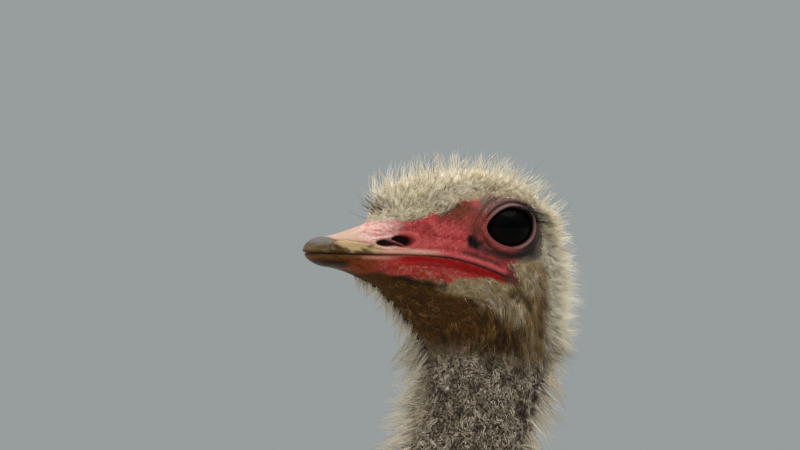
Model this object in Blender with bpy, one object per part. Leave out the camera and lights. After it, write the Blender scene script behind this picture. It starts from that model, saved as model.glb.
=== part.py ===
"""A standing male ostrich at life size, as solids that meet along thin gaps.

Frame: metres, +Z up. The bird faces -Y, its left side is +X, and it stands on z = 0.
The body is one loft from the bill tip over the head, down the neck and along the trunk to the rump.
Each ring of the loft lies in a plane across the body: it runs from a dorsal point to a ventral point.
The loft is first the bare skin, and the depth of the down or the plumage is then added along its normals.
"""

import math

import bmesh
import bpy
import numpy as np
from mathutils import Vector

MM = 0.001
GAP = 0.3 * MM  # between neighbouring solids
EYE_HEIGHT = 2.26  # floor to the middle of the eye
EYE_AHEAD = 0.50  # from the hips forward to the middle of the eye
RINGS_AROUND = 22

# Head and bill, in mm from the middle of the eye: dorsal (ahead, up), ventral (ahead, up), half width,
# where the ring is widest from dorsal 0 to ventral 1, roundness (1 is an ellipse, less is boxier),
# and the depth of the down on the dorsal side, the flank and the ventral side.
HEAD = [
    (139.5, -14.2, 139.0, -17.6, 3.5, 0.50, 1.00, 0, 0, 0),
    (136.5, -9.8, 135.5, -21.5, 8.5, 0.48, 0.90, 0, 0, 0),
    (131.0, -6.9, 129.0, -24.8, 12.0, 0.50, 0.85, 0, 0, 0),
    (121.0, -5.7, 118.0, -26.8, 14.0, 0.50, 0.80, 0, 0, 0),
    (110.0, -3.3, 107.0, -29.4, 15.2, 0.50, 0.80, 0, 0, 0),
    (100.0, -0.5, 97.0, -33.0, 16.2, 0.50, 0.80, 0, 0, 1),
    (93.0, 1.6, 88.0, -36.8, 17.4, 0.50, 0.80, 0, 0, 3),
    (87.5, 4.6, 81.0, -40.5, 18.9, 0.50, 0.82, 4, 0, 5),
    (82.5, 11.5, 75.5, -44.5, 20.5, 0.50, 0.85, 11, 0, 6),
    (77.0, 18.8, 71.0, -48.3, 22.0, 0.50, 0.85, 14, 0, 6),
    (69.0, 24.5, 67.0, -52.0, 23.8, 0.48, 0.85, 15, 0, 7),
    (57.0, 28.0, 62.5, -56.2, 26.0, 0.45, 0.82, 15, 0, 7),
    (44.0, 30.5, 58.5, -60.2, 28.0, 0.40, 0.80, 15, 0, 7),
    (30.0, 32.0, 54.5, -64.0, 29.8, 0.36, 0.80, 15, 0, 8),
    (15.0, 33.0, 51.3, -67.6, 31.0, 0.34, 0.80, 15, 0, 8),
    (0.0, 33.0, 48.8, -70.8, 31.6, 0.33, 0.80, 15, 1, 8),
    (-14.0, 31.0, 46.8, -73.6, 32.0, 0.34, 0.82, 15, 3, 9),
    (-27.0, 26.0, 44.9, -76.4, 32.5, 0.36, 0.85, 15, 5, 9),
    (-38.0, 18.0, 43.2, -79.3, 33.0, 0.38, 0.88, 15, 6, 9),
    (-46.0, 8.0, 41.8, -82.2, 33.5, 0.40, 0.90, 15, 7, 10),
    (-50.5, -4.0, 40.7, -85.2, 34.0, 0.43, 0.92, 15, 8, 10),
    (-52.5, -18.0, 40.0, -88.2, 34.4, 0.46, 0.94, 15, 9, 11),
    (-53.0, -33.0, 39.7, -91.2, 34.7, 0.48, 0.96, 15, 10, 12),
    (-52.0, -49.0, 39.8, -94.2, 35.0, 0.50, 0.98, 15, 11, 12),
    (-50.0, -66.0, 40.2, -97.3, 35.0, 0.50, 1.00, 14, 12, 12),
    (-47.3, -85.0, 40.9, -100.6, 35.0, 0.50, 1.00, 14, 12, 12),
    (-43.3, -105.0, 42.0, -104.5, 35.0, 0.50, 1.00, 13, 12, 12),
    (-38.0, -121.5, 43.8, -109.5, 34.8, 0.50, 1.00, 13, 12, 12),
    (-31.5, -139.8, 45.3, -116.0, 34.5, 0.50, 1.00, 13, 12, 12),
]

# Neck, in mm from the middle of the eye: centre (ahead, up), lean of the ring's front edge above level in
# degrees, half depth from nape to throat, half width, and the depth of the down.
NECK = [
    (14.0, -147.0, 26, 37.8, 34.0, 13),
    (26.5, -173.0, 27, 36.8, 33.0, 13),
    (42.0, -206.0, 24, 36.0, 32.5, 12),
    (57.0, -248.0, 17, 36.0, 32.5, 12),
    (68.0, -300.0, 9, 36.5, 33.0, 12),
    (74.0, -365.0, 1, 38.0, 34.5, 12),
    (73.0, -440.0, -6, 40.5, 36.5, 12),
    (63.0, -525.0, -10, 44.0, 39.5, 12),
    (44.0, -615.0, -15, 48.5, 43.5, 12),
    (15.0, -705.0, -22, 55.0, 49.5, 13),
    (-28.0, -787.0, -32, 64.0, 58.0, 15),
    (-84.0, -860.0, -44, 77.0, 72.0, 20),
    (-150.0, -916.0, -55, 96.0, 94.0, 30),
]

# Trunk, in mm from the hips and from the floor: dorsal (ahead, up), ventral (ahead, up), half width, where
# the ring is widest, roundness, and the depth of the plumage on the back, the flank and the belly.
TRUNK = [
    (216, 1424, 434, 1186, 125, 0.54, 1.00, 38, 40, 32),
    (174, 1428, 438, 1136, 143, 0.54, 1.00, 42, 45, 35),
    (132, 1432, 428, 1086, 160, 0.54, 1.00, 46, 50, 38),
    (87, 1436, 405, 1033, 176, 0.53, 1.00, 48, 53, 39),
    (42, 1440, 366, 983, 190, 0.52, 1.00, 50, 55, 40),
    (-4, 1442, 308, 942, 199, 0.51, 0.99, 51, 57, 40),
    (-50, 1442, 236, 915, 205, 0.50, 0.98, 52, 58, 40),
    (-140, 1433, 70, 895, 205, 0.50, 0.96, 54, 58, 40),
    (-230, 1407, -90, 910, 190, 0.48, 0.96, 55, 55, 40),
    (-310, 1360, -222, 957, 160, 0.46, 0.98, 55, 50, 40),
    (-376, 1300, -322, 1032, 120, 0.45, 1.00, 50, 45, 40),
    (-414, 1236, -388, 1110, 70, 0.45, 1.00, 40, 40, 38),
    (-425, 1190, -422, 1155, 18, 0.50, 1.00, 34, 34, 34),
]

# Where the long body is parted: ahead and up of the eye in mm, and the ring's lean there in degrees.
PARTINGS = [(-2.0, -97.0, 9), (78.0, -352.0, 3), (44.0, -618.0, -15), (-70.0, -845.0, -41)]

# Where the bill leaves the head, in the middle plane, in mm from the eye. The line of the mouth parts its two
# halves. The jaw's lower edge and the chin bound the lower one.
MOUTH_BACK = (49.0, -17.5)
MOUTH_FRONT = (165.0, -15.0)
FOREHEAD_FOOT = (93.0, 1.3)
FOREHEAD_TOP = (101.0, 34.0)
JAW_BACK = (49.0, -37.8)
CHIN = (97.0, -35.2)
CHIN_LOW = (103.0, -60.0)

# Eye: a flattened globe, set a little forward. Half sizes fore and aft, across, and up.
EYE_ACROSS = 20.0 * MM
EYE_BEHIND = 3.5 * MM  # the globe's middle is this far behind the head's reference point
EYE_HALF = (21.0 * MM, 18.0 * MM, 19.0 * MM)
EYE_FORWARD_DEG = 8
LIDS_OUT = 15.5 * MM  # from the globe's middle to the middle of the space between the lids
LIDS_HALF = (21.0 * MM, 7.0 * MM, 14.8 * MM)

NOSTRIL_CENTRE = (82.0, 16.0, -8.8)
NOSTRIL_HALF = (13.5, 4.0, 4.2)
NOSTRIL_TURN_DEG = 7

# Folded wing, in mm from the hips and from the floor: ahead, top and bottom edge, how far out the top and
# the bottom edge hang, and half the thickness.
WING = [
    (365, 1262, 1195, 138, 165, 14),
    (315, 1325, 1090, 165, 228, 45),
    (215, 1372, 1010, 188, 278, 58),
    (90, 1390, 965, 202, 303, 61),
    (-50, 1392, 935, 204, 308, 61),
    (-185, 1376, 910, 195, 298, 60),
    (-305, 1340, 885, 174, 272, 58),
    (-405, 1280, 865, 146, 236, 53),
    (-485, 1185, 880, 120, 200, 42),
    (-530, 1085, 940, 112, 162, 16),
]

# Drooping tail, in the same terms as the trunk, without the plumage columns.
TAIL = [
    (-330, 1352, -300, 1075, 80, 0.5, 1.0),
    (-430, 1352, -410, 1015, 108, 0.5, 1.0),
    (-520, 1318, -500, 960, 128, 0.5, 1.0),
    (-605, 1255, -585, 915, 134, 0.5, 1.0),
    (-672, 1170, -655, 895, 122, 0.5, 1.0),
    (-715, 1085, -705, 905, 90, 0.5, 1.0),
    (-735, 1020, -733, 945, 36, 0.5, 1.0),
]

# Leg joints, in mm: ahead of the hips, up, and out from the middle. FOOT_AHEAD is the joint above the toes.
KNEE = {"left": (150, 985, 140), "right": (122, 985, 140)}
HOCK_BEHIND_FOOT = 78
HOCK_UP = 515
FOOT_OUT = 128
FOOT_UP = 70
FOOT_AHEAD = {"left": 15, "right": -75}

# Along the upper leg, from the knee past the hock: share of the way, bow backwards, half depth, half width.
UPPER_LEG = [
    (0.00, 0, 128, 86),
    (0.15, 4, 124, 86),
    (0.30, 10, 108, 78),
    (0.45, 14, 88, 64),
    (0.60, 14, 69, 50),
    (0.74, 11, 54, 40),
    (0.86, 6, 45, 35),
    (0.94, 2, 45, 36),
    (1.06, 0, 46, 37),
]
# Along the lower leg, from above the hock to the foot: share of the way, bow backwards, half depth, half width.
LOWER_LEG = [
    (-0.06, 3, 45, 36),
    (0.03, 4, 46, 37),
    (0.14, 3, 38, 31),
    (0.26, 2, 30, 24),
    (0.45, 0, 27, 21),
    (0.65, 0, 26, 20),
    (0.82, 0, 28, 23),
    (0.93, 0, 33, 29),
    (1.00, 0, 36, 32),
]
# Toes: ahead of the foot's joint, height of the back of the toe, half width and height of the widest line.
BIG_TOE = [
    (-46, 36, 17, 18),
    (-38, 66, 27, 22),
    (-24, 88, 33, 24),
    (0, 98, 35, 24),
    (24, 84, 35, 22),
    (44, 62, 32, 18),
    (70, 46, 29, 15),
    (92, 43, 30, 15),
    (112, 40, 29, 14),
    (130, 36, 26, 13),
    (144, 29, 20, 12),
    (151, 20, 11, 11),
]
OUTER_TOE = [
    (-14, 44, 18, 16),
    (6, 46, 21, 16),
    (28, 40, 20, 14),
    (50, 35, 19, 13),
    (68, 32, 19, 12),
    (84, 28, 16, 11),
    (95, 20, 10, 10),
]
OUTER_TOE_SPLAY_DEG = 27
TOE_PARTING_OUT = 25  # from the big toe's middle to the flat where the outer toe meets it
# Claws: ahead of the base, height of the middle line, half height, half width.
BIG_CLAW = [
    (0, 17.0, 11.0, 12.0),
    (12, 18.0, 11.0, 12.5),
    (26, 17.0, 9.5, 11.0),
    (40, 13.5, 7.0, 8.0),
    (52, 9.5, 4.2, 4.8),
    (59, 6.6, 1.6, 1.8),
]
SMALL_CLAW_SCALE = 0.42

COLOURS = {  # linear red, green and blue, roughness
    "horn": ((0.26, 0.19, 0.11), 0.45),
    "red_skin": ((0.46, 0.10, 0.09), 0.55),
    "down": ((0.48, 0.43, 0.33), 0.9),
    "neck_down": ((0.16, 0.13, 0.10), 0.9),
    "black_plumage": ((0.012, 0.011, 0.010), 0.85),
    "tail_plumage": ((0.55, 0.47, 0.36), 0.9),
    "leg_skin": ((0.22, 0.17, 0.15), 0.6),
    "shank_scutes": ((0.36, 0.15, 0.12), 0.5),
    "claw": ((0.07, 0.055, 0.045), 0.4),
    "eye": ((0.012, 0.007, 0.004), 0.05),
}


def material(name):
    """The named finish as a Principled material, made once."""
    found = bpy.data.materials.get(name)
    if found:
        return found
    colour, roughness = COLOURS[name]
    made = bpy.data.materials.new(name)
    made.use_nodes = True
    shader = made.node_tree.nodes["Principled BSDF"]
    shader.inputs["Base Color"].default_value = (*colour, 1.0)
    shader.inputs["Roughness"].default_value = roughness
    made.diffuse_color = (*colour, 1.0)
    return made


def body_rows():
    """Every ring of the bare body from bill tip to rump, in metres: dorsal (ahead, up), ventral (ahead, up),
    half width, widest share, roundness, and the three coat depths."""
    head = np.array(HEAD, float)
    head[:, [0, 2]] += EYE_AHEAD / MM
    head[:, [1, 3]] += EYE_HEIGHT / MM
    ahead, up, lean, depth, width, coat = np.array(NECK, float).T
    ahead, up, lean = ahead + EYE_AHEAD / MM, up + EYE_HEIGHT / MM, np.radians(lean)
    across, rise = depth * np.cos(lean), depth * np.sin(lean)
    half, one = np.full_like(coat, 0.5), np.ones_like(coat)
    neck = np.stack(
        [ahead - across, up - rise, ahead + across, up + rise, width, half, one, coat, coat, coat], axis=1
    )
    rows = np.vstack([head, neck, np.array(TRUNK, float)])
    rows[:, [0, 1, 2, 3, 4, 7, 8, 9]] *= MM
    return rows


def rings(dorsal, ventral, width, widest, roundness, around):
    """Ring points (n, around, 3) between dorsal and ventral points given as (n, 3) in x, ahead, up. The chord
    share runs as two quarter ellipses that meet where the ring is widest."""
    turn = 2 * math.pi * np.arange(around) / around
    cos, sin = np.cos(turn)[None, :], np.sin(turn)[None, :]
    widest, roundness = widest[:, None], roundness[:, None]
    share = np.where(cos > 0, widest * (1 - cos), 1 - (1 - widest) * (1 + cos))
    out = width[:, None] * np.sign(sin) * np.abs(sin) ** roundness
    points = dorsal[:, None, :] + share[..., None] * (ventral - dorsal)[:, None, :]
    points[..., 0] += out
    return points


def normals_of(points):
    """Outward normals of a grid of rings, from the cross product of the two grid directions."""
    along = np.gradient(points, axis=0)
    around = np.roll(points, -1, axis=1) - np.roll(points, 1, axis=1)
    normal = np.cross(around, along)
    outward = (normal * (points - points.mean(axis=1, keepdims=True))).sum(-1, keepdims=True)
    normal *= np.sign(outward.sum(axis=1, keepdims=True))
    return normal / np.maximum(np.linalg.norm(normal, axis=-1, keepdims=True), 1e-12)


def swollen(points, depth):
    """Rings moved out along their normals by depth, which may vary from point to point."""
    return points + normals_of(points) * depth


def lengthened(points, by):
    """Rings with both end rings moved out along the loft by `by`."""
    middle = points.mean(axis=1)
    for end, inner in ((0, 1), (-1, -2)):
        away = middle[end] - middle[inner]
        points[end] += by * away / np.linalg.norm(away)
    return points


def mesh_of_rings(name, points):
    """A closed mesh object from rings given as x, ahead, up, with flat ends. World y is minus ahead."""
    count, around = points.shape[:2]
    vertices = points.reshape(-1, 3) * [1, -1, 1]
    i, j = np.meshgrid(np.arange(count - 1), np.arange(around), indexing="ij")
    near, far = i * around + j, i * around + (j + 1) % around
    halves = [near, far, far + around, near, far + around, near + around]
    faces = np.stack(halves, axis=-1).reshape(-1, 3).tolist()
    faces.append(list(range(around))[::-1])
    faces.append(list(range((count - 1) * around, count * around)))
    mesh = bpy.data.meshes.new(name)
    mesh.from_pydata(vertices.tolist(), [], faces)
    bm = bmesh.new()
    bm.from_mesh(mesh)
    bmesh.ops.recalc_face_normals(bm, faces=bm.faces)
    bm.to_mesh(mesh)
    bm.free()
    made = bpy.data.objects.new(name, mesh)
    bpy.context.scene.collection.objects.link(made)
    return made


def sagittal(ahead, up):
    """Points in the bird's middle plane as (n, 3) in x, ahead, up."""
    return np.stack([np.zeros_like(ahead), ahead, up], axis=1)


def whole_body(name, grow=0.0):
    """The long body with its coat, from bill to rump, swollen by grow."""
    rows = body_rows()
    dorsal, ventral = sagittal(rows[:, 0], rows[:, 1]), sagittal(rows[:, 2], rows[:, 3])
    points = rings(dorsal, ventral, rows[:, 4], rows[:, 5], rows[:, 6], RINGS_AROUND)
    turn = 2 * math.pi * np.arange(RINGS_AROUND) / RINGS_AROUND
    back, flank, belly = (rows[:, k, None] for k in (7, 8, 9))
    cos, sin = np.cos(turn)[None, :], np.sin(turn)[None, :]
    above, below = np.maximum(cos, 0) ** 4, np.minimum(cos, 0) ** 2
    coat = back * above + belly * below + flank * (1 - above - below)
    return mesh_of_rings(name, lengthened(swollen(points, (coat + grow)[..., None]), 1.5 * grow))


def keep_side(obj, point, normal):
    """Cuts obj by a plane, keeps the side that normal points away from, and closes the cut with a flat face."""
    bm = bmesh.new()
    bm.from_mesh(obj.data)
    geometry = [*bm.verts, *bm.edges, *bm.faces]
    bmesh.ops.bisect_plane(bm, geom=geometry, dist=1e-7, plane_co=point, plane_no=normal, clear_outer=True)
    open_edges = [e for e in bm.edges if e.is_boundary]
    bmesh.ops.holes_fill(bm, edges=open_edges, sides=0)
    bmesh.ops.recalc_face_normals(bm, faces=bm.faces)
    bm.to_mesh(obj.data)
    bm.free()


def parting_plane(ahead, up, lean):
    """(point, normal up along the neck) of one of PARTINGS, in world terms."""
    lean = math.radians(lean)
    point = Vector((0, -(EYE_AHEAD + ahead * MM), EYE_HEIGHT + up * MM))
    return point, Vector((0, math.sin(lean), math.cos(lean)))


def between(name, above, below):
    """The length of the long body below the parting `above` and over the parting `below`; None has no limit."""
    made = whole_body(name)
    if above is not None:
        point, normal = parting_plane(*PARTINGS[above])
        keep_side(made, point - normal * GAP / 2, normal)
    if below is not None:
        point, normal = parting_plane(*PARTINGS[below])
        keep_side(made, point + normal * GAP / 2, -normal)
    return made


def helper(obj):
    """Marks a cutter, which is left out of the model."""
    obj.hide_render = True
    obj.display_type = "WIRE"
    return obj


def boolean(obj, cutter, operation="DIFFERENCE"):
    change = obj.modifiers.new(operation.lower(), "BOOLEAN")
    change.operation = operation
    change.solver = "EXACT"
    change.object = cutter


def slab(name, outline, inset=0.0):
    """A cutter: an outline in the middle plane, in mm from the eye, carried across the whole head. Each of its
    sides is first moved in by inset, so a corner moves by the sum of the two normals over one plus their dot."""
    half_across = 0.1
    ring = np.array(outline) * MM + (EYE_AHEAD, EYE_HEIGHT)
    side = np.roll(ring, -1, axis=0) - ring
    inward = np.stack([-side[:, 1], side[:, 0]], axis=1) / np.linalg.norm(side, axis=1)[:, None]
    turned = np.sum(ring[:, 0] * np.roll(ring[:, 1], -1) - ring[:, 1] * np.roll(ring[:, 0], -1))
    inward *= np.sign(turned)
    before = np.roll(inward, 1, axis=0)
    ring = ring + inset * (inward + before) / (1 + np.sum(inward * before, axis=1))[:, None]
    points = np.array([[(x, a, u) for a, u in ring] for x in (-half_across, half_across)])
    return helper(mesh_of_rings(name, points))


def globe(name, centre, half, turn_deg=0.0, segments=16, rows=9):
    """An ellipsoid at centre (x, ahead, up) with half sizes fore and aft, across and up, turned about Z."""
    mesh = bpy.data.meshes.new(name)
    bm = bmesh.new()
    bmesh.ops.create_uvsphere(bm, u_segments=segments, v_segments=rows, radius=1.0)
    bmesh.ops.scale(bm, vec=(half[1], half[0], half[2]), verts=bm.verts)
    bm.to_mesh(mesh)
    bm.free()
    made = bpy.data.objects.new(name, mesh)
    bpy.context.scene.collection.objects.link(made)
    made.rotation_euler.z = math.radians(turn_deg)
    made.location = (centre[0], -centre[1], centre[2])
    return made


def make_head():
    """The head with its two eye sockets, and the upper and lower halves of the bill."""
    back, foot, top, front = MOUTH_BACK, FOREHEAD_FOOT, FOREHEAD_TOP, MOUTH_FRONT
    far_up, far_down = (front[0], top[1]), (front[0], CHIN_LOW[1])
    under = [far_down, CHIN_LOW, CHIN, JAW_BACK]
    head = between("head", None, 0)
    boolean(head, slab("bill_space", [back, foot, top, far_up, *under]))
    upper = between("upper_bill", None, 0)
    boolean(upper, slab("upper_bill_space", [back, foot, top, far_up, front], GAP), "INTERSECT")
    lower = between("lower_bill", None, 0)
    boolean(lower, slab("lower_bill_space", [back, front, *under], GAP), "INTERSECT")
    for side, sign in (("left", 1), ("right", -1)):
        centre = (sign * EYE_ACROSS, EYE_AHEAD - EYE_BEHIND, EYE_HEIGHT)
        turn = -sign * EYE_FORWARD_DEG
        eye = globe("eye_" + side, centre, EYE_HALF, turn)
        eye.data.materials.append(material("eye"))
        socket = helper(globe("socket_" + side, centre, [h + GAP for h in EYE_HALF], turn))
        boolean(head, socket)
        out = Vector((sign * math.cos(math.radians(turn)), -math.sin(math.radians(EYE_FORWARD_DEG)), 0))
        lids_at = Vector((centre[0], -centre[1], centre[2])) + out * LIDS_OUT
        lids = globe("lids_" + side, (lids_at.x, -lids_at.y, lids_at.z), LIDS_HALF, turn, 14, 8)
        boolean(head, helper(lids))
        ahead, out, up = (v * MM for v in NOSTRIL_CENTRE)
        pit_centre = (sign * out, EYE_AHEAD + ahead, EYE_HEIGHT + up)
        pit = globe("nostril_" + side, pit_centre, [h * MM for h in NOSTRIL_HALF], -sign * NOSTRIL_TURN_DEG, 12, 6)
        boolean(upper, helper(pit))
    head.data.materials.append(material("down"))
    upper.data.materials.append(material("horn"))
    lower.data.materials.append(material("red_skin"))


def make_body():
    """The three lengths of the neck and the trunk."""
    for name, above, below, finish in (
        ("neck_upper", 0, 1, "neck_down"),
        ("neck_middle", 1, 2, "neck_down"),
        ("neck_lower", 2, 3, "neck_down"),
        ("trunk", 3, None, "black_plumage"),
    ):
        between(name, above, below).data.materials.append(material(finish))


def tail_mesh(name, grow=0.0):
    rows = np.array(TAIL, float)
    rows[:, :5] *= MM
    dorsal, ventral = sagittal(rows[:, 0], rows[:, 1]), sagittal(rows[:, 2], rows[:, 3])
    points = rings(dorsal, ventral, rows[:, 4], rows[:, 5], rows[:, 6], 18)
    return mesh_of_rings(name, lengthened(swollen(points, grow), 1.5 * grow))


def make_tail(body_cutter):
    tail = tail_mesh("tail")
    boolean(tail, body_cutter)
    tail.data.materials.append(material("tail_plumage"))


def wing_mesh(name, sign):
    ahead, top, bottom, out_top, out_bottom, thick = (np.array(WING, float) * MM).T
    half, one = np.full_like(ahead, 0.5), np.ones_like(ahead)
    dorsal = np.stack([sign * out_top, ahead, top], axis=1)
    ventral = np.stack([sign * out_bottom, ahead, bottom], axis=1)
    return mesh_of_rings(name, rings(dorsal, ventral, thick, half, one, 18))


def limb(name, start, end, table, sign, around, grow=0.0):
    """A leg length between two joints given as (ahead, up, out) in mm: rings square to the line between them."""
    start, end = np.array(start, float), np.array(end, float)
    share, bow, depth, width = np.array(table, float).T
    line = start + share[:, None] * (end - start)
    along = (end - start)[:2] / np.linalg.norm((end - start)[:2])
    front = np.array([-along[1], along[0]])
    centre = line[:, :2] - bow[:, None] * front
    reach = (depth + grow / MM)[:, None] * front
    out = sign * line[:, 2:]
    dorsal = np.hstack([out, centre - reach]) * MM
    ventral = np.hstack([out, centre + reach]) * MM
    half, one = np.full_like(share, 0.5), np.ones_like(share)
    return mesh_of_rings(name, rings(dorsal, ventral, width * MM + grow, half, one, around))


def toe(name, table, foot_ahead, foot_out, sign, splay_deg, around=13):
    """A toe lofted along its own line, turned outwards by splay_deg, with a flat sole on the floor."""
    ahead, top, width, widest_up = np.array(table, float).T
    sole_sunk = 6.0  # how far the round underside would reach below the floor
    flat = np.zeros_like(ahead)
    dorsal = np.stack([flat, ahead, top], axis=1)
    ventral = np.stack([flat, ahead, flat - sole_sunk], axis=1)
    widest = (top - widest_up) / (top + sole_sunk)
    points = rings(dorsal, ventral, width, widest, np.full_like(ahead, 0.8), around)
    return place_foot_piece(name, points, foot_ahead, foot_out, sign, splay_deg)


def place_foot_piece(name, points, foot_ahead, foot_out, sign, splay_deg, origin=(0.0, 0.0)):
    """Turns rings (x, ahead, up, in mm) outwards about the foot's joint, and cuts them flat on the floor."""
    turn = math.radians(splay_deg)
    out, ahead = points[..., 0] + origin[0], points[..., 1] + origin[1]
    placed = np.stack(
        [
            sign * (foot_out + out * math.cos(turn) + ahead * math.sin(turn)),
            foot_ahead + ahead * math.cos(turn) - out * math.sin(turn),
            points[..., 2],
        ],
        axis=-1,
    )
    made = mesh_of_rings(name, placed * MM)
    keep_side(made, Vector((0, 0, 0)), Vector((0, 0, -1)))
    return made


def claw(name, base_ahead, scale, foot_ahead, foot_out, sign, splay_deg):
    """A curved claw that starts flat against the end of its toe."""
    ahead, up, tall, width = (np.array(BIG_CLAW, float) * scale).T
    flat = np.zeros_like(ahead)
    dorsal = np.stack([flat, base_ahead + ahead, up + tall], axis=1)
    ventral = np.stack([flat, base_ahead + ahead, up - tall], axis=1)
    widest = np.full_like(ahead, 0.6)
    points = rings(dorsal, ventral, width, widest, np.full_like(ahead, 0.9), 9)
    return place_foot_piece(name, points, foot_ahead, foot_out, sign, splay_deg)


def make_foot(side, sign):
    """The big toe and the outer toe with their claws, parted by upright planes."""
    ahead, out = FOOT_AHEAD[side], FOOT_OUT
    ankle_up = FOOT_UP * MM
    big = toe("big_toe_" + side, BIG_TOE, ahead, out, sign, 0)
    outer = toe("outer_toe_" + side, OUTER_TOE, ahead, out + 18, sign, OUTER_TOE_SPLAY_DEG)
    side_out = sign * (out + TOE_PARTING_OUT) * MM
    keep_side(big, Vector((side_out - sign * GAP / 2, 0, 0)), Vector((sign, 0, 0)))
    keep_side(outer, Vector((side_out + sign * GAP / 2, 0, 0)), Vector((-sign, 0, 0)))
    for piece in (big, outer):
        keep_side(piece, Vector((0, 0, ankle_up - GAP / 2)), Vector((0, 0, 1)))
        piece.data.materials.append(material("shank_scutes"))
    big_end, outer_end = BIG_TOE[-2][0], OUTER_TOE[-2][0]
    big_claw = claw("big_claw_" + side, big_end + GAP / MM, 1.0, ahead, out, sign, 0)
    small = claw(
        "outer_claw_" + side, outer_end + GAP / MM, SMALL_CLAW_SCALE, ahead, out + 18, sign, OUTER_TOE_SPLAY_DEG
    )
    keep_side(big, Vector((0, -(ahead + big_end) * MM, 0)), Vector((0, -1, 0)))
    splay = math.radians(OUTER_TOE_SPLAY_DEG)
    end = Vector(
        (
            sign * (out + 18 + outer_end * math.sin(splay)) * MM,
            -(ahead + outer_end * math.cos(splay)) * MM,
            0,
        )
    )
    keep_side(outer, end, Vector((sign * math.sin(splay), -math.cos(splay), 0)))
    for piece in (big_claw, small):
        piece.data.materials.append(material("claw"))


def make_leg(side, sign, body_cutter):
    """Upper leg and lower leg, parted at the hock and at the foot's joint. Returns the upper leg's cutter."""
    foot = (FOOT_AHEAD[side], FOOT_UP, FOOT_OUT)
    hock = (FOOT_AHEAD[side] - HOCK_BEHIND_FOOT, HOCK_UP, FOOT_OUT)
    upper = limb("upper_leg_" + side, KNEE[side], hock, UPPER_LEG, sign, 20)
    lower = limb("lower_leg_" + side, hock, (foot[0], 50, foot[2]), LOWER_LEG, sign, 14)
    hock_up = HOCK_UP * MM
    keep_side(upper, Vector((0, 0, hock_up + 12 * MM + GAP / 2)), Vector((0, 0, -1)))
    keep_side(lower, Vector((0, 0, hock_up + 12 * MM - GAP / 2)), Vector((0, 0, 1)))
    keep_side(lower, Vector((0, 0, FOOT_UP * MM + GAP / 2)), Vector((0, 0, -1)))
    boolean(upper, body_cutter)
    upper.data.materials.append(material("leg_skin"))
    lower.data.materials.append(material("shank_scutes"))
    return helper(limb("upper_leg_space_" + side, KNEE[side], hock, UPPER_LEG, sign, 20, 1.3 * GAP))


def shade_and_centre():
    """Shades the solids smooth where they are round, and puts the middle of the bird's box over the origin."""
    graph = bpy.context.evaluated_depsgraph_get()
    low, high = 1e9, -1e9
    for obj in bpy.context.scene.objects:
        if obj.hide_render:
            continue
        obj.data.shade_smooth()
        obj.data.set_sharp_from_angle(angle=math.radians(50))
        for corner in obj.evaluated_get(graph).bound_box:
            y = (obj.matrix_world @ Vector(corner)).y
            low, high = min(low, y), max(high, y)
    for obj in bpy.context.scene.objects:
        obj.location.y -= (low + high) / 2


def main():
    for obj in list(bpy.data.objects):
        bpy.data.objects.remove(obj)
    body_cutter = helper(whole_body("body_space", 1.3 * GAP))
    tail_cutter = helper(tail_mesh("tail_space", 1.3 * GAP))
    make_head()
    make_body()
    make_tail(body_cutter)
    for side, sign in (("left", 1), ("right", -1)):
        leg_cutter = make_leg(side, sign, body_cutter)
        make_foot(side, sign)
        wing = wing_mesh("wing_" + side, sign)
        for cutter in (body_cutter, tail_cutter, leg_cutter):
            boolean(wing, cutter)
        wing.data.materials.append(material("black_plumage"))
    bpy.context.view_layer.update()
    shade_and_centre()


main()
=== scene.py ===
"""A standing male ostrich at life size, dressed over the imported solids.

One skin runs from the bill over the head, down the neck and along the trunk. The eyes, claws and legs are
pieces of their own, and down and plumes are solid strands rooted in the skin. Shapes are worked out in
millimetres in the bird's own frame (out to its left, ahead of the hips, up from the floor) and are turned to
metres at the end.
"""

import math

import bpy
import numpy as np
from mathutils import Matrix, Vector
from mathutils.kdtree import KDTree


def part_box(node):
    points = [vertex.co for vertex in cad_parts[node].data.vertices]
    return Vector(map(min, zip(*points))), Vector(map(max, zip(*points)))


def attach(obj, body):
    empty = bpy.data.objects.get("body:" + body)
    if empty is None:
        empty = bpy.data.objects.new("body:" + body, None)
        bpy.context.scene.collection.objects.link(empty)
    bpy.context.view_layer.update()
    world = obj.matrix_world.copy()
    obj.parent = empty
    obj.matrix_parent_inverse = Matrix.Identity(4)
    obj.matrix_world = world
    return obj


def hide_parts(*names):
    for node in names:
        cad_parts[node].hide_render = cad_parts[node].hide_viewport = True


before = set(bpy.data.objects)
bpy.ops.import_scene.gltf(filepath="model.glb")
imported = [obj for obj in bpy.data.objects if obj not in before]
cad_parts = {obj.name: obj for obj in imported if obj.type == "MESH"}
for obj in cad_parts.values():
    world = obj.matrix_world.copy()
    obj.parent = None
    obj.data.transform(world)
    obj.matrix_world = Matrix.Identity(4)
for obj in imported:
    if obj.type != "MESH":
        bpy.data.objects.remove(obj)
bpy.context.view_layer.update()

MM = 0.001

# The head is placed from the left eye's solid, whose middle lies 3.5 mm behind the point that the head's
# rows are measured from. The hips are half a metre behind that point.
EYE_LOW, EYE_HIGH = (np.array(corner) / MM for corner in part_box("eye_left"))
GLOBE_BEHIND = 3.5
HEAD_AHEAD = 500.0
HEAD_UP = (EYE_LOW[2] + EYE_HIGH[2]) / 2
GLOBE_OUT = 20.0
HIPS_Y = (EYE_LOW[1] + EYE_HIGH[1]) / 2 - GLOBE_BEHIND + HEAD_AHEAD

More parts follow.
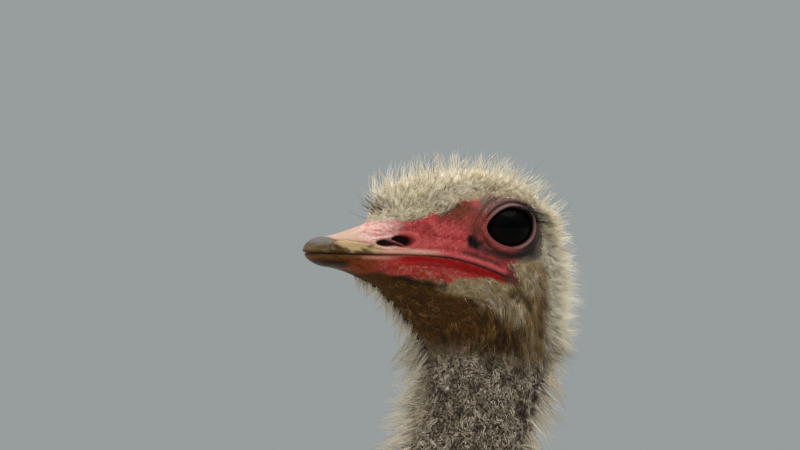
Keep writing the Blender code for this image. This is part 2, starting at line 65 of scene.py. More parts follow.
# Head and bill, in mm from the eye's point: dorsal (ahead, up), ventral (ahead, up), half width, where the
# ring is widest from dorsal 0 to ventral 1, roundness (1 is an ellipse, less is boxier), and the depth of
# the down on the dorsal side, the flank and the ventral side.
HEAD = [
    (139.5, -14.2, 139.0, -17.6, 3.5, 0.50, 1.00, 0, 0, 0),
    (136.5, -9.8, 135.5, -21.5, 8.5, 0.48, 0.90, 0, 0, 0),
    (131.0, -6.9, 129.0, -24.8, 12.0, 0.50, 0.85, 0, 0, 0),
    (121.0, -5.7, 118.0, -26.8, 14.0, 0.50, 0.80, 0, 0, 0),
    (110.0, -3.3, 107.0, -29.4, 15.2, 0.50, 0.80, 0, 0, 0),
    (100.0, -0.5, 97.0, -33.0, 16.2, 0.50, 0.80, 0, 0, 1),
    (93.0, 1.6, 88.0, -36.8, 17.4, 0.50, 0.80, 0, 0, 3),
    (87.5, 4.6, 81.0, -40.5, 18.9, 0.50, 0.82, 4, 0, 5),
    (82.5, 11.5, 75.5, -44.5, 20.5, 0.50, 0.85, 11, 0, 6),
    (77.0, 18.8, 71.0, -48.3, 22.0, 0.50, 0.85, 14, 0, 6),
    (69.0, 24.5, 67.0, -52.0, 23.8, 0.48, 0.85, 15, 0, 7),
    (57.0, 28.0, 62.5, -56.2, 26.0, 0.45, 0.82, 15, 0, 7),
    (44.0, 30.5, 58.5, -60.2, 28.0, 0.40, 0.80, 15, 0, 7),
    (30.0, 32.0, 54.5, -64.0, 29.8, 0.36, 0.80, 15, 0, 8),
    (15.0, 33.0, 51.3, -67.6, 31.0, 0.34, 0.80, 15, 0, 8),
    (0.0, 33.0, 48.8, -70.8, 31.6, 0.33, 0.80, 15, 1, 8),
    (-14.0, 31.0, 46.8, -73.6, 32.0, 0.34, 0.82, 15, 3, 9),
    (-27.0, 26.0, 44.9, -76.4, 32.5, 0.36, 0.85, 15, 5, 9),
    (-38.0, 18.0, 43.2, -79.3, 33.0, 0.38, 0.88, 15, 6, 9),
    (-46.0, 8.0, 41.8, -82.2, 33.5, 0.40, 0.90, 15, 7, 10),
    (-50.5, -4.0, 40.7, -85.2, 34.0, 0.43, 0.92, 15, 8, 10),
    (-52.5, -18.0, 40.0, -88.2, 34.4, 0.46, 0.94, 15, 9, 11),
    (-53.0, -33.0, 39.7, -91.2, 34.7, 0.48, 0.96, 15, 10, 12),
    (-52.0, -49.0, 39.8, -94.2, 35.0, 0.50, 0.98, 15, 11, 12),
    (-50.0, -66.0, 40.2, -97.3, 35.0, 0.50, 1.00, 14, 12, 12),
    (-47.3, -85.0, 40.9, -100.6, 35.0, 0.50, 1.00, 14, 12, 12),
    (-43.3, -105.0, 42.0, -104.5, 35.0, 0.50, 1.00, 13, 12, 12),
    (-38.0, -121.5, 43.8, -109.5, 34.8, 0.50, 1.00, 13, 12, 12),
    (-31.5, -139.8, 45.3, -116.0, 34.5, 0.50, 1.00, 13, 12, 12),
]
# Neck, in mm from the eye's point: centre (ahead, up), lean of the ring's front edge above level in
# degrees, half depth from nape to throat, half width, and the depth of the down.
NECK = [
    (14.0, -147.0, 26, 37.8, 34.0, 13),
    (26.5, -173.0, 27, 36.8, 33.0, 13),
    (42.0, -206.0, 24, 36.0, 32.5, 12),
    (57.0, -248.0, 17, 36.0, 32.5, 12),
    (68.0, -300.0, 9, 36.5, 33.0, 12),
    (74.0, -365.0, 1, 38.0, 34.5, 12),
    (73.0, -440.0, -6, 40.5, 36.5, 12),
    (63.0, -525.0, -10, 44.0, 39.5, 12),
    (44.0, -615.0, -15, 48.5, 43.5, 12),
    (15.0, -705.0, -22, 55.0, 49.5, 13),
    (-28.0, -787.0, -32, 64.0, 58.0, 15),
    (-84.0, -860.0, -44, 77.0, 72.0, 20),
    (-150.0, -916.0, -55, 96.0, 94.0, 30),
]
# Trunk, in mm from the hips and from the floor: the same columns as the head's.
TRUNK = [
    (216, 1424, 434, 1186, 125, 0.54, 1.00, 38, 40, 32),
    (174, 1428, 438, 1136, 143, 0.54, 1.00, 42, 45, 35),
    (132, 1432, 428, 1086, 160, 0.54, 1.00, 46, 50, 38),
    (87, 1436, 405, 1033, 176, 0.53, 1.00, 48, 53, 39),
    (42, 1440, 366, 983, 190, 0.52, 1.00, 50, 55, 40),
    (-4, 1442, 308, 942, 199, 0.51, 0.99, 51, 57, 40),
    (-50, 1442, 236, 915, 205, 0.50, 0.98, 52, 58, 40),
    (-140, 1433, 70, 895, 205, 0.50, 0.96, 54, 58, 40),
    (-230, 1407, -90, 910, 190, 0.48, 0.96, 55, 55, 40),
    (-310, 1360, -222, 957, 160, 0.46, 0.98, 55, 50, 40),
    (-376, 1300, -322, 1032, 120, 0.45, 1.00, 50, 45, 40),
    (-414, 1236, -388, 1110, 70, 0.45, 1.00, 40, 40, 38),
    (-425, 1190, -422, 1155, 18, 0.50, 1.00, 34, 34, 34),
]
# Folded wing: ahead, top and bottom edge, how far out the top and the bottom edge hang, half the thickness.
WING = [
    (365, 1262, 1195, 138, 165, 14),
    (315, 1325, 1090, 165, 228, 45),
    (215, 1372, 1010, 188, 278, 58),
    (90, 1390, 965, 202, 303, 61),
    (-50, 1392, 935, 204, 308, 61),
    (-185, 1376, 910, 195, 298, 60),
    (-305, 1340, 885, 174, 272, 58),
    (-405, 1280, 865, 146, 236, 53),
    (-485, 1185, 880, 120, 200, 42),
    (-530, 1085, 940, 112, 162, 16),
]
# Drooping tail: the trunk's columns without the depth of the plumage.
TAIL = [
    (-330, 1352, -300, 1075, 80, 0.5, 1.0),
    (-430, 1352, -410, 1015, 108, 0.5, 1.0),
    (-520, 1318, -500, 960, 128, 0.5, 1.0),
    (-605, 1255, -585, 915, 134, 0.5, 1.0),
    (-672, 1170, -655, 895, 122, 0.5, 1.0),
    (-715, 1085, -705, 905, 90, 0.5, 1.0),
    (-735, 1020, -733, 945, 36, 0.5, 1.0),
]

# Legs, in mm: the knee (ahead of the hips, up, out), the hock above and behind the foot, and the foot's
# joint.
KNEE = {"left": (150, 985, 140), "right": (122, 985, 140)}
HOCK_BEHIND_FOOT = 78
HOCK_UP = 515
FOOT_OUT = 128
FOOT_AHEAD = {"left": 15, "right": -75}
# Upper leg from the knee past the hock, and lower leg from the hock to the foot: share of the way, bow
# backwards, half depth, half width.
UPPER_LEG = [
    (0.00, 0, 128, 86), (0.15, 4, 124, 86), (0.30, 10, 108, 78), (0.45, 14, 88, 64), (0.60, 14, 69, 50),
    (0.74, 11, 54, 40), (0.86, 6, 45, 35), (0.94, 2, 45, 36), (1.06, 0, 46, 37),
]
LOWER_LEG = [
    (-0.06, 3, 45, 36), (0.03, 4, 46, 37), (0.14, 3, 38, 31), (0.26, 2, 30, 24), (0.45, 0, 27, 21),
    (0.65, 0, 26, 20), (0.82, 0, 28, 23), (0.93, 0, 33, 29), (1.00, 0, 36, 32),
]
# Toes: ahead of the foot's joint, height of the back of the toe, half width and height of the widest line.
BIG_TOE = [
    (-46, 36, 17, 18), (-38, 66, 27, 22), (-24, 88, 33, 24), (0, 98, 35, 24), (24, 84, 35, 22),
    (44, 62, 32, 18), (70, 46, 29, 15), (92, 43, 30, 15), (112, 40, 29, 14), (130, 36, 26, 13),
    (144, 29, 20, 12), (151, 20, 11, 11),
]
OUTER_TOE = [
    (-14, 44, 18, 16), (6, 46, 21, 16), (28, 40, 20, 14), (50, 35, 19, 13), (68, 32, 19, 12),
    (84, 28, 16, 11), (95, 20, 10, 10),
]
OUTER_TOE_OUT = 18
OUTER_TOE_SPLAY = math.radians(27)
# Claws: ahead of the base, height of the middle line, half height, half width.
BIG_CLAW = [
    (-6, 16.0, 10.5, 11.5), (0, 17.0, 11.0, 12.0), (12, 18.0, 11.0, 12.5), (26, 17.0, 9.5, 11.0),
    (40, 13.5, 7.0, 8.0), (52, 9.5, 4.2, 4.8), (59, 6.6, 1.6, 1.8),
]
SMALL_CLAW_SCALE = 0.42
SHIN_PLATE, BIG_TOE_PLATE, OUTER_TOE_PLATE = 17.0, 10.5, 8.0  # the length of one plate

# Eye: half sizes of the globe fore and aft, across and up, turned a little forward.
GLOBE_HALF = (21.0, 18.0, 19.0)
GLOBE_FORWARD = math.radians(8)
# The opening between the lids, on the globe's own axes: how far its middle is ahead and up, its half length
# and half height, and how pointed its quarters are (2 is an ellipse, less is straighter).
OPENING_AT = (0.8, -0.1)
OPENING_HALF = (17.8, 13.1)
OPENING_POWER = {"front_up": 1.55, "front_down": 1.75, "rear_up": 2.3, "rear_down": 2.0}
ORBIT_HALF = (26.0, 17.9, 25.0)  # the swelling of the lids and brow round the globe

WIDEST = 352.0  # no barb reaches further out from the middle than this
DOWN_ENDS_UP = -82.0  # where the head's soft down gives way to the neck's curls, in mm from the eye's point

# Lines in the side view of the head, as (ahead, up) in mm from the eye's point.
MOUTH = [
    (141, -17.0), (130, -17.3), (115, -17.6), (96, -18.0), (78, -18.1), (58, -18.9),
    (43, -20.5), (28, -23.8), (14, -28.0), (4, -32.0), (-2, -34.5),
]
NAIL_EDGE = [(129, -17.3), (128.5, -13.0), (125.5, -9.8), (121, -8.4), (115, -8.7), (104, -10.2), (94, -11.4)]
BARE_FACE = [
    (160, 20), (93.5, 4.8), (84, 3.4), (74, 3.6), (57, 8.6), (46, 10.6), (33, 15.8), (21, 19.2), (4, 20.0),
    (-14, 18.0), (-25, 10.4), (-31, -5), (-29, -19), (-14, -24), (0, -23.5), (-6, -31), (-10, -38),
    (-3, -38.5), (10, -34.5), (24, -33.0), (35, -34.5), (46, -36), (63, -33.8), (91, -29.6), (112, -27.6),
    (150, -34),
]
NOSTRIL_BACK = (76.4, -9.2, 8.2, 4.2)  # ahead, up, half length, half height
NOSTRIL_SLIT = (86.3, -10.4, 9.0, 2.9)
NOSTRIL_FLAP = [(85.5, -7.6), (75.5, -12.0)]
NOSTRIL_RIDGE = [(96, -2.2), (86, -1.6), (74, 0.6), (62, 4.4)]
NOSTRIL_CREASE = [(101, -4.9), (93, -6.2), (88, -5.0)]
CULMEN_CREASE = [(108, -5.6), (99, -3.4), (90, -3.2)]
LORE_HOLLOW = (44, -6)
TEAR_SPOT = (28.0, -9.8)
TEAR_FOLD = [(30, -7), (25, -12.5), (21, -10)]
JAW_DIMPLE = (49, -35.5)
GAPE_FOLD = [(8, -32.5), (1, -35), (-9, -39.5)]
CROWN_EDGE = [(51, 9.0), (46, 10.5), (38, 13.8), (30, 17.0)]
JAW_SHADOW = [(84, -31.8), (66, -35.8), (47, -39.8)]
GAPE_SHADE = [(-3, -41.5), (-15, -46)]
UNDER_EYE = [(28, -11), (20, -14.5), (12, -17.6), (3, -19.8), (-8, -18.5), (-16, -14.5)]


# ---------------------------------------------------------------- small helpers


def smoothstep(low, high, value):
    """0 before low and 1 past high, with a smooth rise between. The limits may be given falling."""
    share = np.clip((value - low) / (high - low), 0.0, 1.0)
    return share * share * (3.0 - 2.0 * share)


def hump(value, centre, width):
    """A smooth bump of height 1 at centre, 1/e high one width away."""
    return np.exp(-(((value - centre) / width) ** 2))


def mix(a, b, share):
    """a at share 0 and b at share 1, in a straight line between."""
    return a + (b - a) * share


def unit(vectors):
    """Vectors scaled to length one."""
    return vectors / np.maximum(np.linalg.norm(vectors, axis=-1, keepdims=True), 1e-9)


def to_frame(points):
    """Points in mm (out to the left, ahead of the hips, up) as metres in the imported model's frame."""
    return points * (MM, -MM, MM) + (0.0, HIPS_Y * MM, 0.0)


def from_eye(points):
    """Each point's place in the side view of the head: how far ahead of the eye's point and above it."""
    return points[..., 1] - HEAD_AHEAD, points[..., 2] - HEAD_UP


def line_distance(ahead, up, line):
    """The distance from each point to an open line of points, as the least over its straight stretches."""
    nearest = np.full(ahead.shape, 1e9)
    for (a0, u0), (a1, u1) in zip(line[:-1], line[1:]):
        da, du = a1 - a0, u1 - u0
        share = np.clip(((ahead - a0) * da + (up - u0) * du) / (da * da + du * du), 0.0, 1.0)
        nearest = np.minimum(nearest, np.hypot(ahead - a0 - share * da, up - u0 - share * du))
    return nearest


def inside_by(ahead, up, outline):
    """How far each point is inside a closed outline, negative outside it. A point is inside when a level line
    from it crosses the outline an odd number of times."""
    ring = outline + outline[:1]
    crossings = np.zeros(ahead.shape, bool)
    for (a0, u0), (a1, u1) in zip(ring[:-1], ring[1:]):
        if u0 != u1:
            spans = (up < u0) != (up < u1)
            crossings ^= spans & (ahead < a0 + (up - u0) * (a1 - a0) / (u1 - u0))
    return np.where(crossings, 1.0, -1.0) * line_distance(ahead, up, ring)


# ---------------------------------------------------------------- the body's surface


def body_table():
    """Every row from bill tip to rump in the trunk's terms."""
    head = np.array(HEAD, float)
    head[:, [0, 2]] += HEAD_AHEAD
    head[:, [1, 3]] += HEAD_UP
    ahead, up, lean, depth, width, coat = np.array(NECK, float).T
    ahead, up, lean = ahead + HEAD_AHEAD, up + HEAD_UP, np.radians(lean)
    across, rise = depth * np.cos(lean), depth * np.sin(lean)
    half, one = np.full_like(coat, 0.5), np.ones_like(coat)
    neck = [ahead - across, up - rise, ahead + across, up + rise, width, half, one, coat, coat, coat]
    return np.vstack([head, np.stack(neck, axis=1), np.array(TRUNK, float)])


def knots_of(table):
    """A length for each row: the mean of how far its dorsal and its ventral point have come along the
    body."""
    dorsal = np.hypot(*np.diff(table[:, :2], axis=0).T)
    ventral = np.hypot(*np.diff(table[:, 2:4], axis=0).T)
    return np.concatenate([[0.0], np.cumsum((dorsal + ventral) / 2)])


def read_rows(table, knots, along):
    """Rows at any lengths along a loft: cubic pieces that pass each row with the slope of its neighbours."""
    slope = np.gradient(table, knots, axis=0)
    along = np.clip(along, knots[0], knots[-1])
    i = np.clip(np.searchsorted(knots, along, side="right") - 1, 0, len(knots) - 2)
    span = (knots[i + 1] - knots[i])[..., None]
    t = (along - knots[i])[..., None] / span
    start, end = table[i], table[i + 1]
    leave, arrive = slope[i] * span, slope[i + 1] * span
    return (start * (1 + 2 * t) * (1 - t) ** 2 + leave * t * (1 - t) ** 2
            + end * t * t * (3 - 2 * t) + arrive * t * t * (t - 1))


def ring_point(rows, turn):
    """A point on each row's ring, turn radians from its dorsal side. The chord share runs as two quarter
    ellipses that meet where the ring is widest, and the width goes with the sine raised to the
    roundness."""
    cos, sin = np.cos(turn), np.sin(turn)
    widest = rows[..., 5]
    share = np.where(cos > 0, widest * (1 - cos), 1 - (1 - widest) * (1 + cos))
    out = rows[..., 4] * np.sign(sin) * np.abs(sin) ** rows[..., 6]
    ahead = rows[..., 0] + share * (rows[..., 2] - rows[..., 0])
    up = rows[..., 1] + share * (rows[..., 3] - rows[..., 1])
    return np.stack([out, ahead, up], axis=-1)


BODY = body_table()
BODY_KNOTS = knots_of(BODY)
TRUNK_START = BODY_KNOTS[len(HEAD) + len(NECK)]


def body_point(along, turn):
    """The body's surface, before folds and face, by length from the bill's tip and turn from the back."""
    return ring_point(read_rows(BODY, BODY_KNOTS, along), turn)


def slopes_of(surface, along, turn):
    """How a surface moves per mm along it and per radian round it."""
    step, angle = 0.5, 0.01
    by_along = (surface(along + step, turn) - surface(along - step, turn)) / (2 * step)
    by_turn = (surface(along, turn + angle) - surface(along, turn - angle)) / (2 * angle)
    return by_along, by_turn


def normal_of(surface, along, turn):
    """Outward normals: the cross product of the two slopes, turned away from the far side of the ring."""
    by_along, by_turn = slopes_of(surface, along, turn)
    normal = unit(np.cross(by_along, by_turn))
    across = surface(along, turn) - surface(along, turn + math.pi)
    return normal * np.sign(np.sum(normal * across, axis=-1, keepdims=True))


def coat_depth(along, turn):
    """Depth of the down or plumage over the body's skin, from the rows' last three columns."""
    rows = read_rows(BODY, BODY_KNOTS, along)
    cos = np.cos(turn)
    above, below = np.maximum(cos, 0) ** 4, np.minimum(cos, 0) ** 2
    return rows[..., 7] * above + rows[..., 9] * below + rows[..., 8] * (1 - above - below)


# ---------------------------------------------------------------- the face's forms


def beside_globe(points):
    """Each point on the axes of the globe on its own side: ahead, up and out from the globe's middle."""
    sign = np.where(points[..., 0] < 0, -1.0, 1.0)
    out = np.abs(points[..., 0]) - GLOBE_OUT
    ahead = points[..., 1] - HEAD_AHEAD + GLOBE_BEHIND
    cos, sin = math.cos(GLOBE_FORWARD), math.sin(GLOBE_FORWARD)
    return ahead * cos - out * sin, points[..., 2] - HEAD_UP, out * cos + ahead * sin, sign


def from_globe(ahead, up, out, sign):
    """The way back from beside_globe."""
    cos, sin = math.cos(GLOBE_FORWARD), math.sin(GLOBE_FORWARD)
    x = out * cos - ahead * sin + GLOBE_OUT
    y = ahead * cos + out * sin + HEAD_AHEAD - GLOBE_BEHIND
    return np.stack([sign * x, y, up + HEAD_UP], axis=-1)


def opening_share(ahead, up):
    """1 on the edge between the lids, less inside it: a superellipse whose power differs in its four
    quarters."""
    a, u = (ahead - OPENING_AT[0]) / OPENING_HALF[0], (up - OPENING_AT[1]) / OPENING_HALF[1]
    front, above = a > 0, u > 0
    power = np.where(
        front,
        np.where(above, OPENING_POWER["front_up"], OPENING_POWER["front_down"]),
        np.where(above, OPENING_POWER["rear_up"], OPENING_POWER["rear_down"]),
    )
    return (np.abs(a) ** power + np.abs(u) ** power) ** (1 / power)


def from_lid_edge(ahead, up):
    """How far outside the lids' edge a point is, in mm, along the line from the opening's middle."""
    share = opening_share(ahead, up)
    return np.hypot(ahead - OPENING_AT[0], up - OPENING_AT[1]) * (1 - 1 / np.maximum(share, 1e-3))


def dome(half, ahead, up):
    """Height of an ellipsoid over a point beside it, falling to zero at its rim."""
    return half[1] * np.sqrt(np.maximum(1 - (ahead / half[0]) ** 2 - (up / half[2]) ** 2, 0))


def oval(ahead, up, shape):
    """1 on the edge of an oval given as (ahead, up, half length, half height), less inside it."""
    return np.hypot((ahead - shape[0]) / shape[2], (up - shape[1]) / shape[3])


def mouth_up(ahead):
    """Height of the line of the mouth."""
    a, u = np.array(MOUTH[::-1], float).T
    return np.interp(ahead, a, u)


def lids_shaped(points):
    """Skin points near the eye, raised to the swelling round the globe, folded over it into lids, and led in
    under the globe inside the opening. Heights are along the globe's outward axis."""
    ahead, up, out, sign = beside_globe(points)
    reach, from_middle = 42, np.hypot(ahead, up)  # the lids' forms fade out over the last 8 mm of their reach
    near = (from_middle < reach) & (out > -4)
    edge = from_lid_edge(ahead, up)
    turn = np.arctan2(up - OPENING_AT[1], ahead - OPENING_AT[0])
    above, below = smoothstep(-0.15, 0.5, np.sin(turn)), smoothstep(0.1, -0.5, np.sin(turn))
    behind = smoothstep(-0.1, -0.7, np.cos(turn))
    swelling = dome(ORBIT_HALF, ahead, up)
    blend = 3.0  # rounds the line where the swelling meets the skin
    height = (out + swelling + np.sqrt((out - swelling) ** 2 + blend ** 2)) / 2
    height += 0.55 * hump(edge, 1.2, 1.0)
    height += above * (0.9 * hump(edge, 1.6, 1.0) - 1.6 * hump(edge, 3.2, 0.6) + 1.3 * hump(edge, 5.2, 1.5))
    height += above * (-0.8 * hump(edge, 8.0, 0.9) + 0.4 * hump(edge, 10.0, 1.5))
    height += below * (0.5 * hump(edge, 3.6, 1.3) - 1.2 * hump(edge, 5.9 - np.cos(turn), 0.9))
    height += behind * (-0.7 * hump(edge, 3.1, 0.7) + 0.4 * hump(edge, 5.2, 1.2) - 0.5 * hump(edge, 7.6, 0.8))
    wrinkles = 0.26 * np.sin(edge * 2.4 + 2 * np.sin(3 * turn))
    height += wrinkles * smoothstep(3, 6, edge) * smoothstep(17, 10, edge)
    under_globe = dome(GLOBE_HALF, ahead, up) - 1.6
    height = mix(height, under_globe, smoothstep(0.9, -1.9, edge))
    moved = from_globe(ahead, up, mix(out, height, smoothstep(reach, reach - 8, from_middle)), sign)
    return np.where(near[..., None], moved, points)


def bill_shaped(points, normal):
    """Skin points of the bill and face, moved along their normals by the groove of the mouth, the lips
    beside it, the edge of the nail and the ridges of the bill's base, and inwards by the nostrils."""
    ahead, up = from_eye(points)
    side = smoothstep(0.1, 0.45, np.abs(normal[..., 0]))
    over = up - mouth_up(ahead)
    in_mouth = smoothstep(-3.5, 2.0, ahead) * smoothstep(143, 138, ahead)
    soft = smoothstep(98, 78, ahead) * in_mouth
    gape = smoothstep(50, 25, ahead) * in_mouth
    by = -1.5 * hump(over, 0, 0.6) * in_mouth
    by += 0.35 * hump(over, 2.0, 1.3) * in_mouth + 1.1 * hump(over, 2.3, 1.5) * gape
    by += soft * (-1.7 * hump(over, -3.2, 2.2) + 0.8 * hump(over, -7.0, 1.8)) * smoothstep(-3, 6, ahead)
    by += gape * (0.5 * hump(over, -1.2, 0.7) - 0.6 * hump(over, 6.0, 1.4))
    by -= 0.5 * hump(over, -5.2, 0.7) * smoothstep(84, 96, ahead) * smoothstep(134, 124, ahead)
    by -= 0.55 * hump(line_distance(ahead, up, NAIL_EDGE), 0, 0.7) * smoothstep(92, 104, ahead)
    for line, height, width in (
        (NOSTRIL_RIDGE, 0.9, 2.2), (NOSTRIL_CREASE, -0.7, 0.9), (CULMEN_CREASE, -0.45, 0.7),
        (GAPE_FOLD, 0.8, 2.4),
    ):
        by += height * hump(line_distance(ahead, up, line), 0, width)
    for (at_ahead, at_up), squeeze_ahead, squeeze_up, depth, width in (
        (LORE_HOLLOW, 1.0, 1.4, 1.3, 14), (TEAR_SPOT, 1.3, 1.0, 0.9, 3.0), (JAW_DIMPLE, 1.0, 1.5, 1.4, 1.8),
    ):
        by -= depth * hump(np.hypot((ahead - at_ahead) * squeeze_ahead, (up - at_up) * squeeze_up), 0, width)
    pimples = np.sin(ahead * 1.1 + 0.5 * up) * np.sin(up * 1.5 + 1)
    by += 0.22 * pimples * smoothstep(75, 60, ahead) * smoothstep(24, 34, ahead)
    moved = points + normal * (by * side)[..., None]
    back, slit = oval(ahead, up, NOSTRIL_BACK), oval(ahead, up, NOSTRIL_SLIT)
    pit = np.maximum(7.5 * smoothstep(1.08, 0.66, back), 3.6 * smoothstep(1.1, 0.6, slit))
    either = np.minimum(back, slit)
    flap = hump(line_distance(ahead, up, NOSTRIL_FLAP), 0, 0.75) * smoothstep(1.15, 0.85, either)
    rim = 0.45 * (hump(back, 1.3, 0.14) + hump(slit, 1.35, 0.2)) * smoothstep(1.0, 1.2, either)
    pit = mix(pit, 1.4, flap * smoothstep(1, 3, pit)) - rim
    pit *= side * smoothstep(64, 68, ahead) * smoothstep(100, 97, ahead)
    moved[..., 0] -= np.sign(points[..., 0]) * pit
    return moved


def folds(points):
    """Loose folds of the throat and neck, in mm out: slow waves across and along."""
    x, (ahead, up) = points[..., 0], from_eye(points)
    broad = np.sin(up / 7.0 + 1.3 * np.sin(x / 17.0) + ahead / 19.0)
    narrow = np.sin(up / 4.3 + 2.0 * np.sin(ahead / 13.0) + x / 9.0)
    return 0.35 * (broad + narrow) * smoothstep(-45, -110, up)


def skin_point(along, turn):
    """A point on the finished skin."""
    points = body_point(along, turn)
    normal = normal_of(body_point, along, turn)
    points = points + normal * folds(points)[..., None]
    return lids_shaped(bill_shaped(points, normal))


def side_steps(along, turn, move_ahead, move_up, least, instead):
    """How far along and round the body a move in the side view goes, from the surface's two slopes. Where the
    surface is turned so far away that the area between its slopes is below least, instead takes its place."""
    by_along, by_turn = slopes_of(body_point, along, turn)
    area = by_along[..., 1] * by_turn[..., 2] - by_along[..., 2] * by_turn[..., 1]
    area = np.where(np.abs(area) < least, instead, area)
    step_along = (move_ahead * by_turn[..., 2] - move_up * by_turn[..., 1]) / area
    step_turn = (move_up * by_along[..., 1] - move_ahead * by_along[..., 2]) / area
    return step_along, step_turn


def crowded(along, turn):
    """The grid's places, moved so that its lines crowd along the lids' edge and the mouth."""
    points = body_point(along, turn)
    ahead, up = from_eye(points)
    lid_ahead, lid_up = beside_globe(points)[:2]
    share = opening_share(lid_ahead, lid_up)
    pull = -0.68 * (1 - 1 / np.maximum(share, 0.2)) * hump(share, 1, 0.42) * (share > 0.2)
    move_ahead, move_up = pull * (lid_ahead - OPENING_AT[0]), pull * (lid_up - OPENING_AT[1])
    over = up - mouth_up(ahead)
    move_up += -0.6 * over * hump(over, 0, 3.2) * smoothstep(-8, 2, ahead) * smoothstep(70, 55, ahead)
    step_along, step_turn = side_steps(along, turn, move_ahead, move_up, 2.0, np.inf)
    side = smoothstep(0.4, 0.65, np.abs(np.sin(turn)))
    return along + side * np.clip(step_along, -8, 8), turn + side * np.clip(step_turn, -0.3, 0.3)


# ---------------------------------------------------------------- meshes


def keep_values(mesh, values):
    """Keeps values on a mesh's points, for its material to read by name."""
    for key, value in values.items():
        mesh.attributes.new(key, "FLOAT", "POINT").data.foreach_set("value", value.astype(np.float32).ravel())


def mesh_piece(name, points, faces, finish, values=None, uv=None):
    """An object from points in mm, triangles or quads as rows of numbers, a material, values kept on its
    points for the material to read, and a flat map given per corner. The faces come pointing outwards."""
    mesh = bpy.data.meshes.new(name)
    faces = np.asarray(faces, np.int32)
    count, corners = faces.shape
    mesh.vertices.add(len(points))
    mesh.vertices.foreach_set("co", to_frame(points).astype(np.float32).ravel())
    mesh.loops.add(count * corners)
    mesh.loops.foreach_set("vertex_index", faces.ravel())
    mesh.polygons.add(count)
    mesh.polygons.foreach_set("loop_start", np.arange(0, count * corners, corners, dtype=np.int32))
    mesh.polygons.foreach_set("loop_total", np.full(count, corners, np.int32))
    mesh.polygons.foreach_set("use_smooth", np.ones(count, bool))
    keep_values(mesh, values or {})
    if uv is not None:
        layer = mesh.uv_layers.new(name="OFBake")
        layer.data.foreach_set("uv", uv.astype(np.float32).ravel())
    mesh.update(calc_edges=True)
    mesh.validate()
    if finish:
        mesh.materials.append(finish)
    made = bpy.data.objects.new(name, mesh)
    bpy.context.scene.collection.objects.link(made)
    return made


def tube_faces(count, around):
    """Triangles over a grid of rings whose ends close on two more points, numbered after the grid."""
    i, j = np.meshgrid(np.arange(count - 1), np.arange(around), indexing="ij")
    near, far = i * around + j, i * around + (j + 1) % around
    quads = np.stack([near, far, far + around, near + around], axis=-1).reshape(-1, 4)
    j = np.arange(around)
    following, last = (j + 1) % around, (count - 1) * around
    first_cap = np.stack([following, j, np.full(around, count * around)], axis=-1)
    last_cap = np.stack([last + j, last + following, np.full(around, count * around + 1)], axis=-1)
    return np.vstack([quads[:, [0, 1, 2]], quads[:, [0, 2, 3]], first_cap, last_cap])


def closed_tube(points):
    """Points and triangles of a closed skin over rings (n, around, 3), a middle point shutting each end. The
    faces are turned so that the volume they bound is positive."""
    count, around = points.shape[:2]
    flat = np.vstack([points.reshape(-1, 3), points[0].mean(axis=0), points[-1].mean(axis=0)])
    faces = tube_faces(count, around)
    a, b, c = (flat[faces[:, k]] * (1, -1, 1) for k in range(3))
    if np.einsum("ij,ij->", a, np.cross(b, c)) < 0:
        faces = faces[:, ::-1]
    return flat, faces


def with_caps(values):
    """Values on the rings of a closed tube, row by row, with each end ring's mean for its middle point."""
    return {key: np.append(value.ravel(), [value[0].mean(), value[-1].mean()])
            for key, value in values.items()}


# ---------------------------------------------------------------- markings


def bare_distance(points):
    """How far a place is outside the bare face, in mm in the side view. The back of the head is far
    outside."""
    return -inside_by(*from_eye(points), BARE_FACE)


